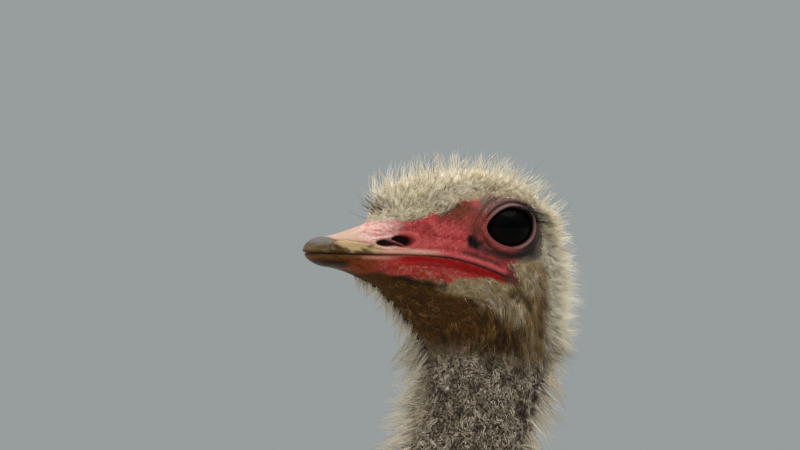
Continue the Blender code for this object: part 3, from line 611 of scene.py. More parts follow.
def down_markings(points, along, turn):
    """Shares of each colour of down at places on the skin, from how high and how far forward they are and how
    near the line of the back. The skin under the down and every strand rooted there read the same shares."""
    (ahead, up), dorsal = from_eye(points), np.cos(turn)
    wander = 4 * np.sin(ahead / 9.0 + points[..., 0] / 14.0) + 3 * np.sin(up / 6.0 + ahead / 17.0)
    cheek_ends = np.interp(ahead, [-30, 13, 34, 50], [-61, -54, -47, -39])
    cheek = smoothstep(-2, 4, up - cheek_ends + 0.5 * wander)
    cheek *= smoothstep(54, 49, ahead) * smoothstep(-24, -34, up)
    ear = smoothstep(0.6, 0.35, dorsal) * smoothstep(-4, -14, up) * smoothstep(6, -2, ahead)
    ear_share = 0.35 + 0.3 * smoothstep(-44, -30, up)
    face_edge = smoothstep(8, 1, bare_distance(points)) * mix(0.5, 1.0, smoothstep(64, 50, ahead))
    low = smoothstep(-38, -54, up)
    # Painted shadow: a dark line down between the cheek and the nape, where the nape's down stands out over
    # the side of the head.
    dark_line = hump(dorsal, 0.42, mix(0.05, 0.10, low)) * smoothstep(-30, -44, up) * smoothstep(-74, -62, up)
    dark_line *= mix(0.6, 0.85, low) * (ahead < 0)
    throat_top = np.interp(ahead, [45, 60, 90], [-46, -36, -30])
    brown = smoothstep(0.45, -0.1, dorsal) * smoothstep(14, 0, up - throat_top + 0.5 * wander)
    brown *= 1 - 0.85 * cheek
    gape_shade = 0.85 * hump(line_distance(ahead, up, GAPE_SHADE), 0, 4)
    jaw_shadow = 0.75 * hump(line_distance(ahead, up, JAW_SHADOW), 0, 1.6)
    # Painted light: a pale band down the neck's right front edge, standing in for light shining through the
    # down there. It goes into the nape's pale share and out of the throat's and the neck's.
    painted_rim_light = 0.62 * smoothstep(0.6, 0.95, np.cos(turn + 2.55) + 0.01 * wander)
    painted_rim_light *= smoothstep(-80, -105, up) * smoothstep(-260, -150, up)
    below_crown = smoothstep(-5, -25, up)
    nape = smoothstep(mix(0.1, 0.44, below_crown), mix(0.7, 0.56, below_crown), dorsal)
    nape *= smoothstep(8, -18, up) * smoothstep(-98, -62, up) * (ahead < 20)
    return {
        "crown": smoothstep(-38, -20, up + wander) * smoothstep(-0.9, -0.5, dorsal),
        "cheek": np.clip(cheek * smoothstep(-22, 0, ahead) + ear_share * ear + 0.75 * face_edge, 0, 1),
        "nape": nape + painted_rim_light,
        # The throat's brown share also takes the painted shadow line between cheek and nape, and the painted
        # shade behind the gape.
        "throat": np.maximum(np.maximum(brown, dark_line), gape_shade) * (1 - smoothstep(0, 0.3, painted_rim_light)),
        "neck": smoothstep(mix(-72, -64, smoothstep(0.2, 0.6, dorsal)), -96, up + wander) * (1 - painted_rim_light),
        # The black share also takes the painted shadow line under the jaw.
        "black": np.maximum(smoothstep(1030, 1105, along + 6 * wander + 25 * dorsal), jaw_shadow),
    }


def bare_markings(points):
    """Shares of each colour of the bare face and bill, and of the lids from how far outside their edge a
    point is. Slow waves make the borders wander, and finer ones break up the grime on the bill."""
    ahead, up = from_eye(points)
    lid_ahead, lid_up = beside_globe(points)[:2]
    edge, turn = from_lid_edge(lid_ahead, lid_up), np.arctan2(lid_up, lid_ahead)
    above, below = smoothstep(0, 0.5, np.sin(turn)), smoothstep(0, -0.5, np.sin(turn))
    behind = smoothstep(0.1, -0.6, np.cos(turn))
    wander = 1.2 * np.sin(ahead / 3.1 + up / 5.0) + 0.9 * np.sin(up / 2.3 - ahead / 6.1)
    grime = np.sin(ahead / 2.1 + 2.0 * np.sin(up / 1.7)) * np.sin(up / 1.3 + 1.5 * np.sin(ahead / 3.7))
    bare = smoothstep(-2.2, 1.2, inside_by(ahead, up, BARE_FACE) + 0.6 * wander)

    over = up - mouth_up(ahead)
    upper, lower_lip = smoothstep(-0.4, 0.4, over), smoothstep(-0.6, -1.4, over)
    nail_line = np.where(up > -9, 122 + (up + 9) * 2.2, 128 + (up + 9) * 0.2)
    edge_up = np.interp(ahead, [60, 78, 94, 104, 115, 121, 130],
                        [-15.4, -14.2, -11.4, -10.2, -8.7, -8.4, -6.0])
    lip_strip = 0.7 * (1 - upper) * hump(over, -2.0, 1.4)
    lip_strip *= smoothstep(64, 80, ahead) * smoothstep(114, 102, ahead)
    edge_stain = 0.85 * smoothstep(5.0, 1.0, over + 1.3 * wander + 2.2 * grime) * smoothstep(86, 104, ahead)
    nail_stain = hump(ahead - nail_line + 1.5 * grime, -2.5, 3.5) * smoothstep(-8, -12, up)
    # Painted shade: darker along the groove of the mouth and the groove at the nail's edge.
    mouth_dark = mix(0.9, 0.7, smoothstep(45, 70, ahead)) * hump(over, 0, 0.8) * smoothstep(1, 7, ahead)
    nail_dark = 0.35 * hump(line_distance(ahead, up, NAIL_EDGE[:4]), 0, 0.9)
    tip_brown = smoothstep(108, 124, ahead + 2 * wander) * smoothstep(-2.5, -5.0, over + 0.8 * grime)
    tip_grime = 0.6 * smoothstep(98, 106, ahead) * smoothstep(0.35, 0.7, grime)

    grey_behind = smoothstep(0, -16, ahead + wander) * smoothstep(-31, -24, up)
    brow = hump(np.hypot((ahead - 17) / 1.3, up - 12.5), 0, 5.0)
    brow = brow + smoothstep(14.5, 17, up + 0.5 * wander) * smoothstep(26, 15, ahead)
    crown_rust = 0.8 * hump(line_distance(ahead, up + 3.0, CROWN_EDGE) + 0.5 * wander, 0, 2.4)
    lore_rust = hump(np.hypot((ahead - 36) / 1.7, up - 10 + wander), 0, 5.5)
    eye_rust = 0.9 * hump(np.hypot(ahead - 25, up + wander), 0, 8.0)
    lid_rust = 0.7 * below * hump(edge, 3.8, 1.6)
    gape_plum = 1.2 * hump(line_distance(ahead, up, GAPE_FOLD), 0, 2.8)
    cheek_plum = 0.8 * smoothstep(6, -1, ahead + wander) * smoothstep(-24, -28, up)
    under = line_distance(ahead, up, UNDER_EYE) + 0.4 * wander
    pouch = 1.2 * hump(np.hypot(ahead + 17, up + 14 + wander), 0, 7.0)
    pouch = pouch + 0.8 * hump(np.hypot(ahead + 25, (up + 3) / 2), 0, 3.5)
    # Painted shade: the skin is darkened in the hollow of the tear spot and along its fold, in the jaw's
    # dimple, along the crown's edge under its down, and inside and under the upper lid's edge.
    tear = 1.3 * hump(np.hypot((ahead - TEAR_SPOT[0]) * 1.1, up - TEAR_SPOT[1] - 0.9 * wander), 0, 3.9)
    tear = tear + 0.8 * hump(line_distance(ahead, up, TEAR_FOLD) + 0.3 * wander, 0, 1.4)
    crown_dark = 0.8 * hump(line_distance(ahead, up, CROWN_EDGE) + 0.4 * wander, 0, 1.2)
    dimple = hump(np.hypot(ahead - JAW_DIMPLE[0], (up - JAW_DIMPLE[1] - 0.5) * 1.3), 0, 2.4)
    lid_dark = smoothstep(0.4, -0.6, edge - 0.9 * above * smoothstep(16, 10, lid_ahead))
    # Painted shade: dark lines in the creases round the lids.
    creases = above * hump(edge, 3.2, 0.65) + behind * hump(edge, 3.0, 0.8)
    creases = creases + 0.8 * below * hump(edge, 6.0 - np.cos(turn), 1.4) + above * 0.5 * hump(edge, 8.0, 0.8)
    creases = creases + above * 0.3 * hump(edge, 5.7, 0.4)
    # Painted shade: the nostrils' pits are darkened as the shade inside them.
    nostril = smoothstep(0.98, 0.7, oval(ahead, up, NOSTRIL_BACK))
    nostril = nostril + smoothstep(0.98, 0.6, oval(ahead, up, NOSTRIL_SLIT))
    return {
        "bare": bare,
        "grey": np.clip(grey_behind + 0.75 * brow, 0, 1),
        "culmen": upper * smoothstep(70, 92, ahead + wander) * smoothstep(-1.5, 1.5, up - edge_up),
        "peach": upper * smoothstep(42, 66, ahead + wander) * smoothstep(1.6, -1.0, up - edge_up) + lip_strip,
        "horn": upper * smoothstep(82, 102, ahead + wander) * smoothstep(1.2, -1.0, up - edge_up),
        "rust": crown_rust + lore_rust + eye_rust + lid_rust,
        "tan": upper * smoothstep(92, 116, ahead + wander),
        "nail": upper * smoothstep(-2.2, 2.2, ahead - nail_line + wander),
        "stain": upper * np.clip(edge_stain + nail_stain, 0, 1),
        "nail_low": upper * smoothstep(-9, -12.5, up + 1.2 * grime) * smoothstep(124, 130, ahead),
        # Painted shade in the grooves of the mouth and the nail.
        "groove": np.clip(mouth_dark + nail_dark, 0, 1) * (ahead > -3),
        "jaw": (1 - upper) * smoothstep(-2, -4, over) * (0.65 + 0.15 * wander),
        "jaw_brown": (1 - upper - lip_strip) * smoothstep(80, 106, ahead + 2 * wander),
        "jaw_olive": 0.8 * (1 - upper) * smoothstep(98, 116, ahead + 3 * grime)
        * smoothstep(-4.5, -1.8, over + grime),
        "jaw_tip": (1 - upper) * np.clip(tip_brown + tip_grime, 0, 1),
        "wet": lower_lip * smoothstep(-7.6, -6.2, over) * smoothstep(92, 72, ahead) * smoothstep(2, 8, ahead),
        "wet_low": lower_lip * hump(over, -5.6, 1.1) * smoothstep(80, 60, ahead) * smoothstep(2, 8, ahead),
        # A paler pink ridge above the mouth by the gape, its pink partly a painted highlight along the ridge.
        "lip": smoothstep(0.3, 0.9, over) * smoothstep(3.8, 2.4, over) * smoothstep(60, 38, ahead)
        * smoothstep(1, 7, ahead),
        "plum": np.clip(hump(over, 5.6, 1.6) * smoothstep(42, 30, ahead) * smoothstep(2, 8, ahead)
                        + gape_plum + cheek_plum, 0, 1),
        "ring": np.clip(edge, 0, 20),
        "wrinkled": smoothstep(3.4, 5.0, edge) * smoothstep(15, 9, edge) * mix(0.75, 0.45, below) * bare,
        "rim": hump(edge, 0.9, 1.0) * (1 - above * smoothstep(14, 6, lid_ahead)),
        # Painted highlight: the paler mauve of the rim behind the eye, low on its rear.
        "rear_rim_highlight": hump(edge, 0.8, 1.2) * behind * smoothstep(0.75, 0.35, np.sin(turn)),
        "lid": above * smoothstep(0.2, 0.8, edge) * smoothstep(7.5, 5.8, edge)
        * smoothstep(19, 11, lid_ahead),
        "crease": np.clip(creases, 0, 1),
        "shade": np.clip(pouch * smoothstep(2.2, 3.2, edge) + 0.85 * hump(under, 0.8, 2.0), 0, 1) * bare,
        # Painted shade in the hollows and under the upper lid, as above.
        "dark": np.clip(tear + crown_dark + dimple + lid_dark, 0, 1) * (edge < 40),
        "nostril": np.clip(nostril, 0, 1) * (1 - 0.9 * hump(line_distance(ahead, up, NOSTRIL_FLAP), 0, 0.9)),
    }


# ---------------------------------------------------------------- materials


def colour(code):
    """An sRGB hex colour as linear red, green, blue and alpha."""
    parts = [int(code[k:k + 2], 16) / 255 for k in (1, 3, 5)]
    return (*(c / 12.92 if c <= 0.04045 else ((c + 0.055) / 1.055) ** 2.4 for c in parts), 1.0)


def add(tree, kind, inputs=(), out=None, **settings):
    """Adds a node with its settings. Its inputs are values or other nodes' outputs, given in order or by
    name or number. Returns the output that out names, or else the first one in use."""
    made = tree.nodes.new("ShaderNode" + kind)
    for name, value in settings.items():
        setattr(made, name, value)
    for socket, value in inputs.items() if isinstance(inputs, dict) else enumerate(inputs):
        if isinstance(value, bpy.types.NodeSocket):
            tree.links.new(value, made.inputs[socket])
        else:
            made.inputs[socket].default_value = value
    return made.outputs[out] if out else next(output for output in made.outputs if output.enabled)


def new_material(name, **constants):
    """A material with its Principled shader's constant sockets set. Returns the material, tree and shader."""
    made = bpy.data.materials.new(name)
    made.use_nodes = True
    shader = made.node_tree.nodes["Principled BSDF"]
    for socket, value in constants.items():
        shader.inputs[socket.replace("_", " ")].default_value = value
    return made, made.node_tree, shader


def painted(tree, base, coats, blend="MIX"):
    """A colour under a row of coats, each a share and what it brings. Colours are hex codes or outputs, and a
    share is a number, an output or the name of a value kept on the surface."""
    base = colour(base) if isinstance(base, str) else base
    for share, over in coats:
        if isinstance(share, str):
            share = add(tree, "Attribute", out="Fac", attribute_name=share)
        over = colour(over) if isinstance(over, str) else over
        base = add(tree, "Mix", {0: share, 6: base, 7: over}, data_type="RGBA", blend_type=blend)
    return base


def object_noise(tree, size_mm, detail=3.0, roughness=0.55, scale=(1.0, 1.0, 1.0)):
    """Noise over the piece's own coordinates with blotches about size_mm across, longer where scale is
    small."""
    where = add(tree, "TexCoord", out="Object")
    if scale != (1.0, 1.0, 1.0):
        where = add(tree, "Mapping", {"Vector": where, "Scale": scale})
    return add(tree, "TexNoise", {"Vector": where, "Scale": 1 / (size_mm * MM), "Detail": detail,
                                  "Roughness": roughness})


CHEEK_DOWN = "#9b7840"
# The nape's near-white is its own pale down, painted paler still to stand for light glowing through it from
# behind. The throat's and the black's shares also paint the shadow lines and shade that down_markings puts
# into them.
DOWN_COATS = [
    ("crown", "#e6dabf"), ("cheek", "#a8926c"), ("nape", "#f6eed9"), ("throat", "#4d2f0e"),
    ("neck", "#93856f"), ("black", "#16130f"),
]
# Painted light among these: groove, crease, nostril and dark are painted shade, shade is painted shade under
# and behind the eye, the lip's pink is partly a painted highlight, and the paler rim behind the eye is a
# painted highlight.
FACE_COATS = [
    ("grey", "#6d6456"), ("rust", "#6c3325"), ("tan", "#b99a84"), ("peach", "#d39a86"), ("horn", "#b0946a"),
    ("nail", "#66625f"), ("nail_low", "#65533a"), ("stain", "#463010"), ("jaw_brown", "#743008"),
    ("jaw_olive", "#56411f"), ("jaw_tip", "#2c1804"), ("plum", "#542823"), ("lip", "#c9585a"),
    ("wet", "#9c0a08"), ("wet_low", "#640402"), ("lid", "#7d5d59"), ("rim", "#74443f"),
    ("rear_rim_highlight", "#8e6466"), ("crease", "#2a1719"), ("shade", "#262320"), ("groove", "#2a1410"),
    ("nostril", "#1d0807"), ("dark", "#15100d"),
]


def down_bed(tree):
    """The skin under the down, in the down's own colours: specked on the neck, and darker in blotches of
    painted shadow, as cast by the strands over it.
    """
    bed = painted(tree, CHEEK_DOWN, DOWN_COATS)
    specks = add(tree, "MapRange", [object_noise(tree, 1.7, 2.0), 0.42, 0.58])
    on_neck = add(tree, "Attribute", out="Fac", attribute_name="neck")
    specks = add(tree, "Math", [specks, on_neck], operation="MULTIPLY")
    shadow = add(tree, "MapRange", [object_noise(tree, 2.2), 0.4, 0.62, 0.55, 0.9])
    return painted(tree, painted(tree, bed, [(specks, "#3f352c")]), [(1.0, shadow)], "MULTIPLY")


def red_skin(tree, grain, pores):
    """Pink red bare skin: mottled, blotched darker, with pale grains and dark pores, and dry streaks of
    paler horn along the ridge of the bill."""
    mottle = add(tree, "MapRange", [object_noise(tree, 5), 0.35, 0.65])
    blotches = add(tree, "MapRange", [object_noise(tree, 11, 3.0, 0.65), 0.45, 0.62, 0.0, 0.75])
    streaks = add(tree, "MapRange", [object_noise(tree, 2.1, 4.0, 0.7, (1.0, 0.45, 1.2)), 0.38, 0.6])
    return painted(tree, "#a63436", [
        (mottle, "#bf5350"),
        (blotches, "#7e2226"),
        (add(tree, "MapRange", [grain, 0.6, 0.76, 0.0, 0.6]), "#dc968a"),
        (add(tree, "MapRange", [pores, 0.34, 0.26, 0.0, 0.7]), "#5d1d1c"),
        ("culmen", painted(tree, "#cc7472", [(streaks, "#d6bcad")])),
    ])


def lid_furrows(tree):
    """Fine wrinkles round the lids, at uneven steps from their edge."""
    ring, wrinkled = (add(tree, "Attribute", out="Fac", attribute_name=key) for key in ("ring", "wrinkled"))
    uneven = add(tree, "MapRange", [object_noise(tree, 4.5), 0.2, 0.8, -1.3, 1.3])
    ring = add(tree, "Math", [ring, uneven], operation="ADD")
    ring = add(tree, "Math", [ring, 0.75], operation="PINGPONG")
    deep = add(tree, "MapRange", [ring, 0.12, 0.4, 1.0, 0.0])
    return add(tree, "Math", [deep, wrinkled], operation="MULTIPLY")


def make_skin_material():
    """Bare bird skin and bill horn, with the bed of the down where it is feathered: the face is a matt,
    fine-pored pink red with a wet lip, the bill a dry horn, and the lids mauve and finely creased."""
    made, tree, shader = new_material("bird_skin_and_bill_horn", IOR=1.45, Specular_IOR_Level=0.12)
    grain, pores, furrows = object_noise(tree, 1.3), object_noise(tree, 0.7, 2.0), lid_furrows(tree)
    jaw, bare, wet = (add(tree, "Attribute", out="Fac", attribute_name=key) for key in ("jaw", "bare", "wet"))
    flakes = add(tree, "MapRange", [object_noise(tree, 3.2, 4.0, 0.7), 0.5, 0.62, 0.0, 0.6])
    scurf = add(tree, "Math", [flakes, jaw], operation="MULTIPLY")
    face = painted(tree, red_skin(tree, grain, pores), [(jaw, "#942519"), (scurf, "#bb8670"), *FACE_COATS])
    # The lids' furrows are painted darker here, as the shade in them; their bump follows below.
    whole = painted(tree, down_bed(tree), [(bare, face), (furrows, "#4a2a26")])
    shade = add(tree, "MapRange", [grain, 0.2, 0.8, 0.78, 1.14])
    tree.links.new(painted(tree, whole, [(1.0, shade)], "MULTIPLY"), shader.inputs["Base Color"])
    matt = add(tree, "MapRange", [bare, 0, 1, 0.9, 0.5])
    tree.links.new(add(tree, "Mix", {0: wet, 2: matt, 3: 0.22}), shader.inputs["Roughness"])
    broad = object_noise(tree, 2.6)
    bump = add(tree, "Bump", {"Strength": 0.5, "Distance": 0.4 * MM, "Height": pores})
    bump = add(tree, "Bump", {"Strength": 0.6, "Distance": 0.8 * MM, "Height": broad, "Normal": bump})
    bump = add(tree, "Bump", {"Strength": 0.6, "Distance": 0.5 * MM, "Height": furrows, "Normal": bump},
               invert=True)
    tree.links.new(bump, shader.inputs["Normal"])
    return made


def make_eye_material():
    """A living eye: a near-black brown iris round a wide pupil, under a clear wet cornea that gives it one
    sharp gloss over everything."""
    made, tree, shader = new_material("wet_eye", Roughness=0.3, IOR=1.376, Specular_IOR_Level=0.0,
                                      Coat_Weight=0.11, Coat_Roughness=0.03, Coat_IOR=1.376)
    fibres = add(tree, "MapRange", [object_noise(tree, 0.9, 4.0), 0.3, 0.7])
    iris = painted(tree, "#040201", [(fibres, "#0a0503"), ("pupil", "#020202"), ("white", "#0c0705")])
    tree.links.new(iris, shader.inputs["Base Color"])
    return made


# ---------------------------------------------------------------- pieces of the head


def make_skin():
    """The one skin of bill, head, neck and trunk. Its rings are close on the face and wider down the body,
    and close together on the sides, where the face is."""
    head_end, neck_end = 258, 1129
    steps = [(0, 53, 0.9), (53, 188, 0.7), (188, head_end, 2.5), (head_end, neck_end, 14.0),
             (neck_end, BODY_KNOTS[-1], 40.0)]
    along = np.concatenate([np.arange(low, high, step) for low, high, step in steps] + [[BODY_KNOTS[-1]]])
    around = 266
    turn = 2 * math.pi * np.arange(around) / around
    turn += 0.28 * np.sin(2 * turn)
    along, turn = np.meshgrid(along, turn, indexing="ij")
    on_head = along[:, 0] < head_end
    along[on_head], turn[on_head] = crowded(along[on_head], turn[on_head])
    points = skin_point(along, turn)
    flat, faces = closed_tube(points)
    values = with_caps({**down_markings(points, along, turn), **bare_markings(points)})
    skin = mesh_piece("skin", flat, faces, make_skin_material(), values)
    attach(skin, "root")
    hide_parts("head", "upper_bill", "lower_bill", "neck_upper", "neck_middle", "neck_lower", "trunk")


def make_eye(side, sign, finish):
    """A globe of rings about the outward axis: an ellipsoid with a shallow cornea raised on its front. The
    sign is 1 on the left and -1 on the right."""
    rings, around = 60, 72
    polar = math.pi * (np.arange(rings) + 0.5) / rings
    turn = 2 * math.pi * np.arange(around) / around
    polar, turn = np.meshgrid(polar, turn, indexing="ij")
    cornea = 0.7 * smoothstep(0.62, 0.2, polar)
    ahead = GLOBE_HALF[0] * np.sin(polar) * np.cos(turn)
    up = GLOBE_HALF[2] * np.sin(polar) * np.sin(turn)
    out = GLOBE_HALF[1] * np.cos(polar) + cornea
    flat, faces = closed_tube(from_globe(ahead, up, out, np.full_like(out, sign)))
    values = with_caps({"pupil": smoothstep(0.50, 0.44, polar), "white": smoothstep(0.98, 1.08, polar)})
    eye = mesh_piece("eye_ball_" + side, flat, faces, finish, values)
    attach(eye, "root")
    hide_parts("eye_" + side)


# ---------------------------------------------------------------- down and plumes


def anywhere(points, along, turn):
    """For scattered, strands all over the limits searched."""
    return np.ones_like(along)


def scattered(rng, count, along, turn, wanted):
    """Random places on the body's skin, even over its area and thinned by wanted(points, along, turn), which
    gives a share from 0 to 1. along and turn are the limits searched."""
    tries = 12 * count
    at, round_at = rng.uniform(*along, tries), rng.uniform(*sorted(turn), tries)
    by_along, by_turn = slopes_of(body_point, at, round_at)
    area = np.linalg.norm(np.cross(by_along, by_turn), axis=1)
    share = area * wanted(body_point(at, round_at), at, round_at)
    kept = rng.random(tries) * np.quantile(share, 0.995) < share
    return at[kept][:count], round_at[kept][:count]


def strand_piece(name, lines, across, thick, outward, roots, finish, values):
    """Closed three-sided spikes along lines (n, k, 3), across and thick wide at every point but the sharp
    last one. The width lies square to outward. Each strand's flat map is a patch at its root's place. The
    corners of its rings and faces run the way that points the faces outwards once to_frame has mirrored
    them."""
    count, k = lines.shape[:2]
    course = unit(lines[:, -1] - lines[:, 0])
    side = unit(np.cross(course, outward))
    face = np.cross(side, course)
    angle = np.radians([90, 210, 330])
    spread = across[..., None, None] * np.cos(angle)[:, None] * side[:, None, None, :]
    lift = thick[..., None, None] * np.sin(angle)[:, None] * face[:, None, None, :]
    rings = lines[:, :-1, None, :] + spread + lift
    tip = 3 * (k - 1)  # the number of the last corner, after the rings' own
    points = np.concatenate([rings.reshape(count, tip, 3), lines[:, -1:]], axis=1)
    heights = np.linspace(0.1, 1.0, k)  # how far up its patch each ring lies, above the root's face
    corners, patch = [(0, 2, 1)], [((0.1, 0.0), (0.9, 0.0), (0.5, 0.08))]
    for j, (low, high) in enumerate(zip(heights[:-2], heights[1:])):
        for i in range(3):
            a, b, left, right = 3 * j + i, 3 * j + (i + 1) % 3, i / 3, (i + 1) / 3
            corners += [(a, b, b + 3), (a, b + 3, a + 3)]
            patch += [((left, low), (right, low), (right, high)), ((left, low), (right, high), (left, high))]
    for i in range(3):
        corners.append((tip - 3 + i, tip - 3 + (i + 1) % 3, tip))
        patch.append(((i / 3, heights[-2]), ((i + 1) / 3, heights[-2]), ((i + 0.5) / 3, 1.0)))
    faces = (np.array(corners)[None] + (tip + 1) * np.arange(count)[:, None, None]).reshape(-1, 3)
    uv = (roots[:, None, None, :] * 0.996 + 0.003 * np.array(patch)[None]).reshape(-1, 2)
    kept = {key: np.repeat(value, tip + 1) for key, value in values.items()}
    kept["tip"] = np.tile(np.append(np.repeat(np.arange(k - 1) / (k - 1), 3), 1.0), count)
    made = mesh_piece(name, points.reshape(-1, 3), faces, finish, kept, uv)
    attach(made, "root")
    return made


def unwrapped(along, turn):
    """Each root's place on the skin laid flat: how far along and how far round, both as shares of the
    piece."""
    turn = np.arctan2(np.sin(turn), np.cos(turn))
    place = np.stack([along, turn], axis=1)
    low, high = place.min(axis=0), place.max(axis=0)
    return (place - low) / (high - low)


def down_lines(rng, along, turn, length, stand, curl, stray, points_each=3, upright=0.0):
    """Lines of down from places on the skin: each starts a little under it, leaves at a slope between the
    lie of the coat and straight out, turned towards upright by a share, wanders with its neighbours and by
    itself, and bends along the lie by its curl."""
    root = skin_point(along, turn)
    outward = normal_of(body_point, along, turn)
    lie = unit(slopes_of(body_point, along, turn)[0])
    sideways = np.cross(outward, lie)
    stand, curl = np.broadcast_to(stand, len(root)), np.broadcast_to(curl, len(root))
    clump = root / 3.1  # neighbours within a few millimetres lean alike
    lean_lie = 0.34 * np.sin(clump[:, 0] * 1.3 + 2.1 * np.sin(clump[:, 2]) + clump[:, 1])
    lean_side = 0.34 * np.sin(clump[:, 1] * 1.2 - clump[:, 2] * 1.1 + 1.7 * np.sin(clump[:, 0]))
    lean_lie, lean_side = (lean + stray * rng.normal(size=len(root)) for lean in (lean_lie, lean_side))
    course = outward * stand[:, None] + lie * (np.sqrt(1 - stand ** 2) + lean_lie)[:, None]
    course = unit(unit(course + sideways * lean_side[:, None]) + upright * np.array([0.0, 0.0, 1.0]))
    t = np.linspace(0, 1, points_each)[None, :, None]
    bend = lie * curl[:, None] + sideways * (0.5 * curl * np.sin(7 * rng.random(len(root))))[:, None]
    way = length[:, None, None] * (t * course[:, None] + t * t * bend[:, None])
    return root[:, None] - 0.8 * outward[:, None] + way, outward


def in_locks(rng, lines, in_each, pull):
    """Strands drawn together into pointed locks: each leans, more towards its tip, to the nearest of the
    strands picked as a lock's middle. Returns the lines and the number of each strand's lock."""
    count, points_each = lines.shape[:2]
    middles = rng.permutation(count)[:max(1, count // in_each)]
    tree = KDTree(len(middles))
    for number, place in enumerate(lines[middles, 0]):
        tree.insert(place, number)
    tree.balance()
    lock = np.array([tree.find(place)[1] for place in lines[:, 0]])
    middle = lines[middles[lock]]
    t = np.linspace(0, 1, points_each)[None, :, None]
    met = middle + (lines[:, :1] - middle[:, :1]) * (1 - t)
    share = pull * (rng.random(count) < 0.85)[:, None, None]
    return mix(lines, met, share * t), lock


def down_piece(name, rng, along, turn, length, stand, curl, stray, width, finish, points_each=3,
               in_each=12, pull=0.75, pale=0.0, upright=0.0, even=0.0):
    """A joined piece of down strands, tapering from the given width, that carries the skin's markings. A
    pale piece is nearer to the nape's colour everywhere above the black, and an even one is of a more even
    tone."""
    lines, outward = down_lines(rng, along, turn, length, stand, curl, stray, points_each, upright)
    lines, lock = in_locks(rng, lines, in_each, pull)
    across = width[:, None] / 2 * np.linspace(1, 0.35, points_each - 1)[None, :]
    values = down_markings(lines[:, 0], along, turn)
    for key in ("cheek", "crown", "throat", "neck"):
        values[key] = values[key] * (1 - pale)
    values["nape"] = np.maximum(values["nape"], pale)
    values["tone"] = mix(mix(rng.random(len(along)), rng.random(len(along))[lock], 0.6), 0.45, even)
    values["tone"] -= 0.02 * values["neck"]
    broadside = unit(np.cross(outward, rng.normal(size=outward.shape)))
    made = strand_piece(name, lines, across, 0.8 * across, broadside, unwrapped(along, turn), finish, values)


def make_down_material():
    """Ostrich down: dry, loosely barbed and matt, pale at the tips and darker at the root, a painted shade
    deep in the coat, with dark quills scattered through it."""
    made, tree, shader = new_material("loose_down", Roughness=0.75, IOR=1.45, Specular_IOR_Level=0.2,
                                      Sheen_Weight=0.05, Sheen_Roughness=0.5)
    tone, tip = (add(tree, "Attribute", out="Fac", attribute_name=key) for key in ("tone", "tip"))
    brown = painted(tree, "#3b2408", [(add(tree, "MapRange", [tone, 0.42, 0.85]), "#94703a")])
    pepper = painted(tree, "#3c3127", [(add(tree, "MapRange", [tone, 0.36, 0.54]), "#d2c4af")])
    coat = painted(tree, CHEEK_DOWN, [
        *DOWN_COATS[:3],
        (add(tree, "MapRange", [tone, 0.45, 0.9, 0.0, 0.55]), "#f3ebd6"),
        (add(tree, "MapRange", [tone, 0.5, 0.25, 0.0, 0.32]), "#b58c4c"),
        (add(tree, "MapRange", [tone, 0.13, 0.05, 0.0, 0.6]), "#6a563c"),
        ("throat", brown),
        ("neck", pepper),
    ])
    # Painted shade: darker towards each strand's root, deep in the coat.
    depth = add(tree, "MapRange", [tip, 0.0, 0.5, 0.88, 1.05])
    coat = painted(tree, painted(tree, coat, [(1.0, depth)], "MULTIPLY"), [("black", "#15120f")])
    tree.links.new(coat, shader.inputs["Base Color"])
    return made


def near_face(far, beyond=3.5):
    """How thickly down grows by its distance outside the bare face: a few short hairs cross the border."""
    border = 0.15 * smoothstep(-beyond, -1, far) + 0.90 * smoothstep(-1.6, 0.2, far)
    return border * (0.5 + 0.5 * np.exp(-np.abs(far) / 10))


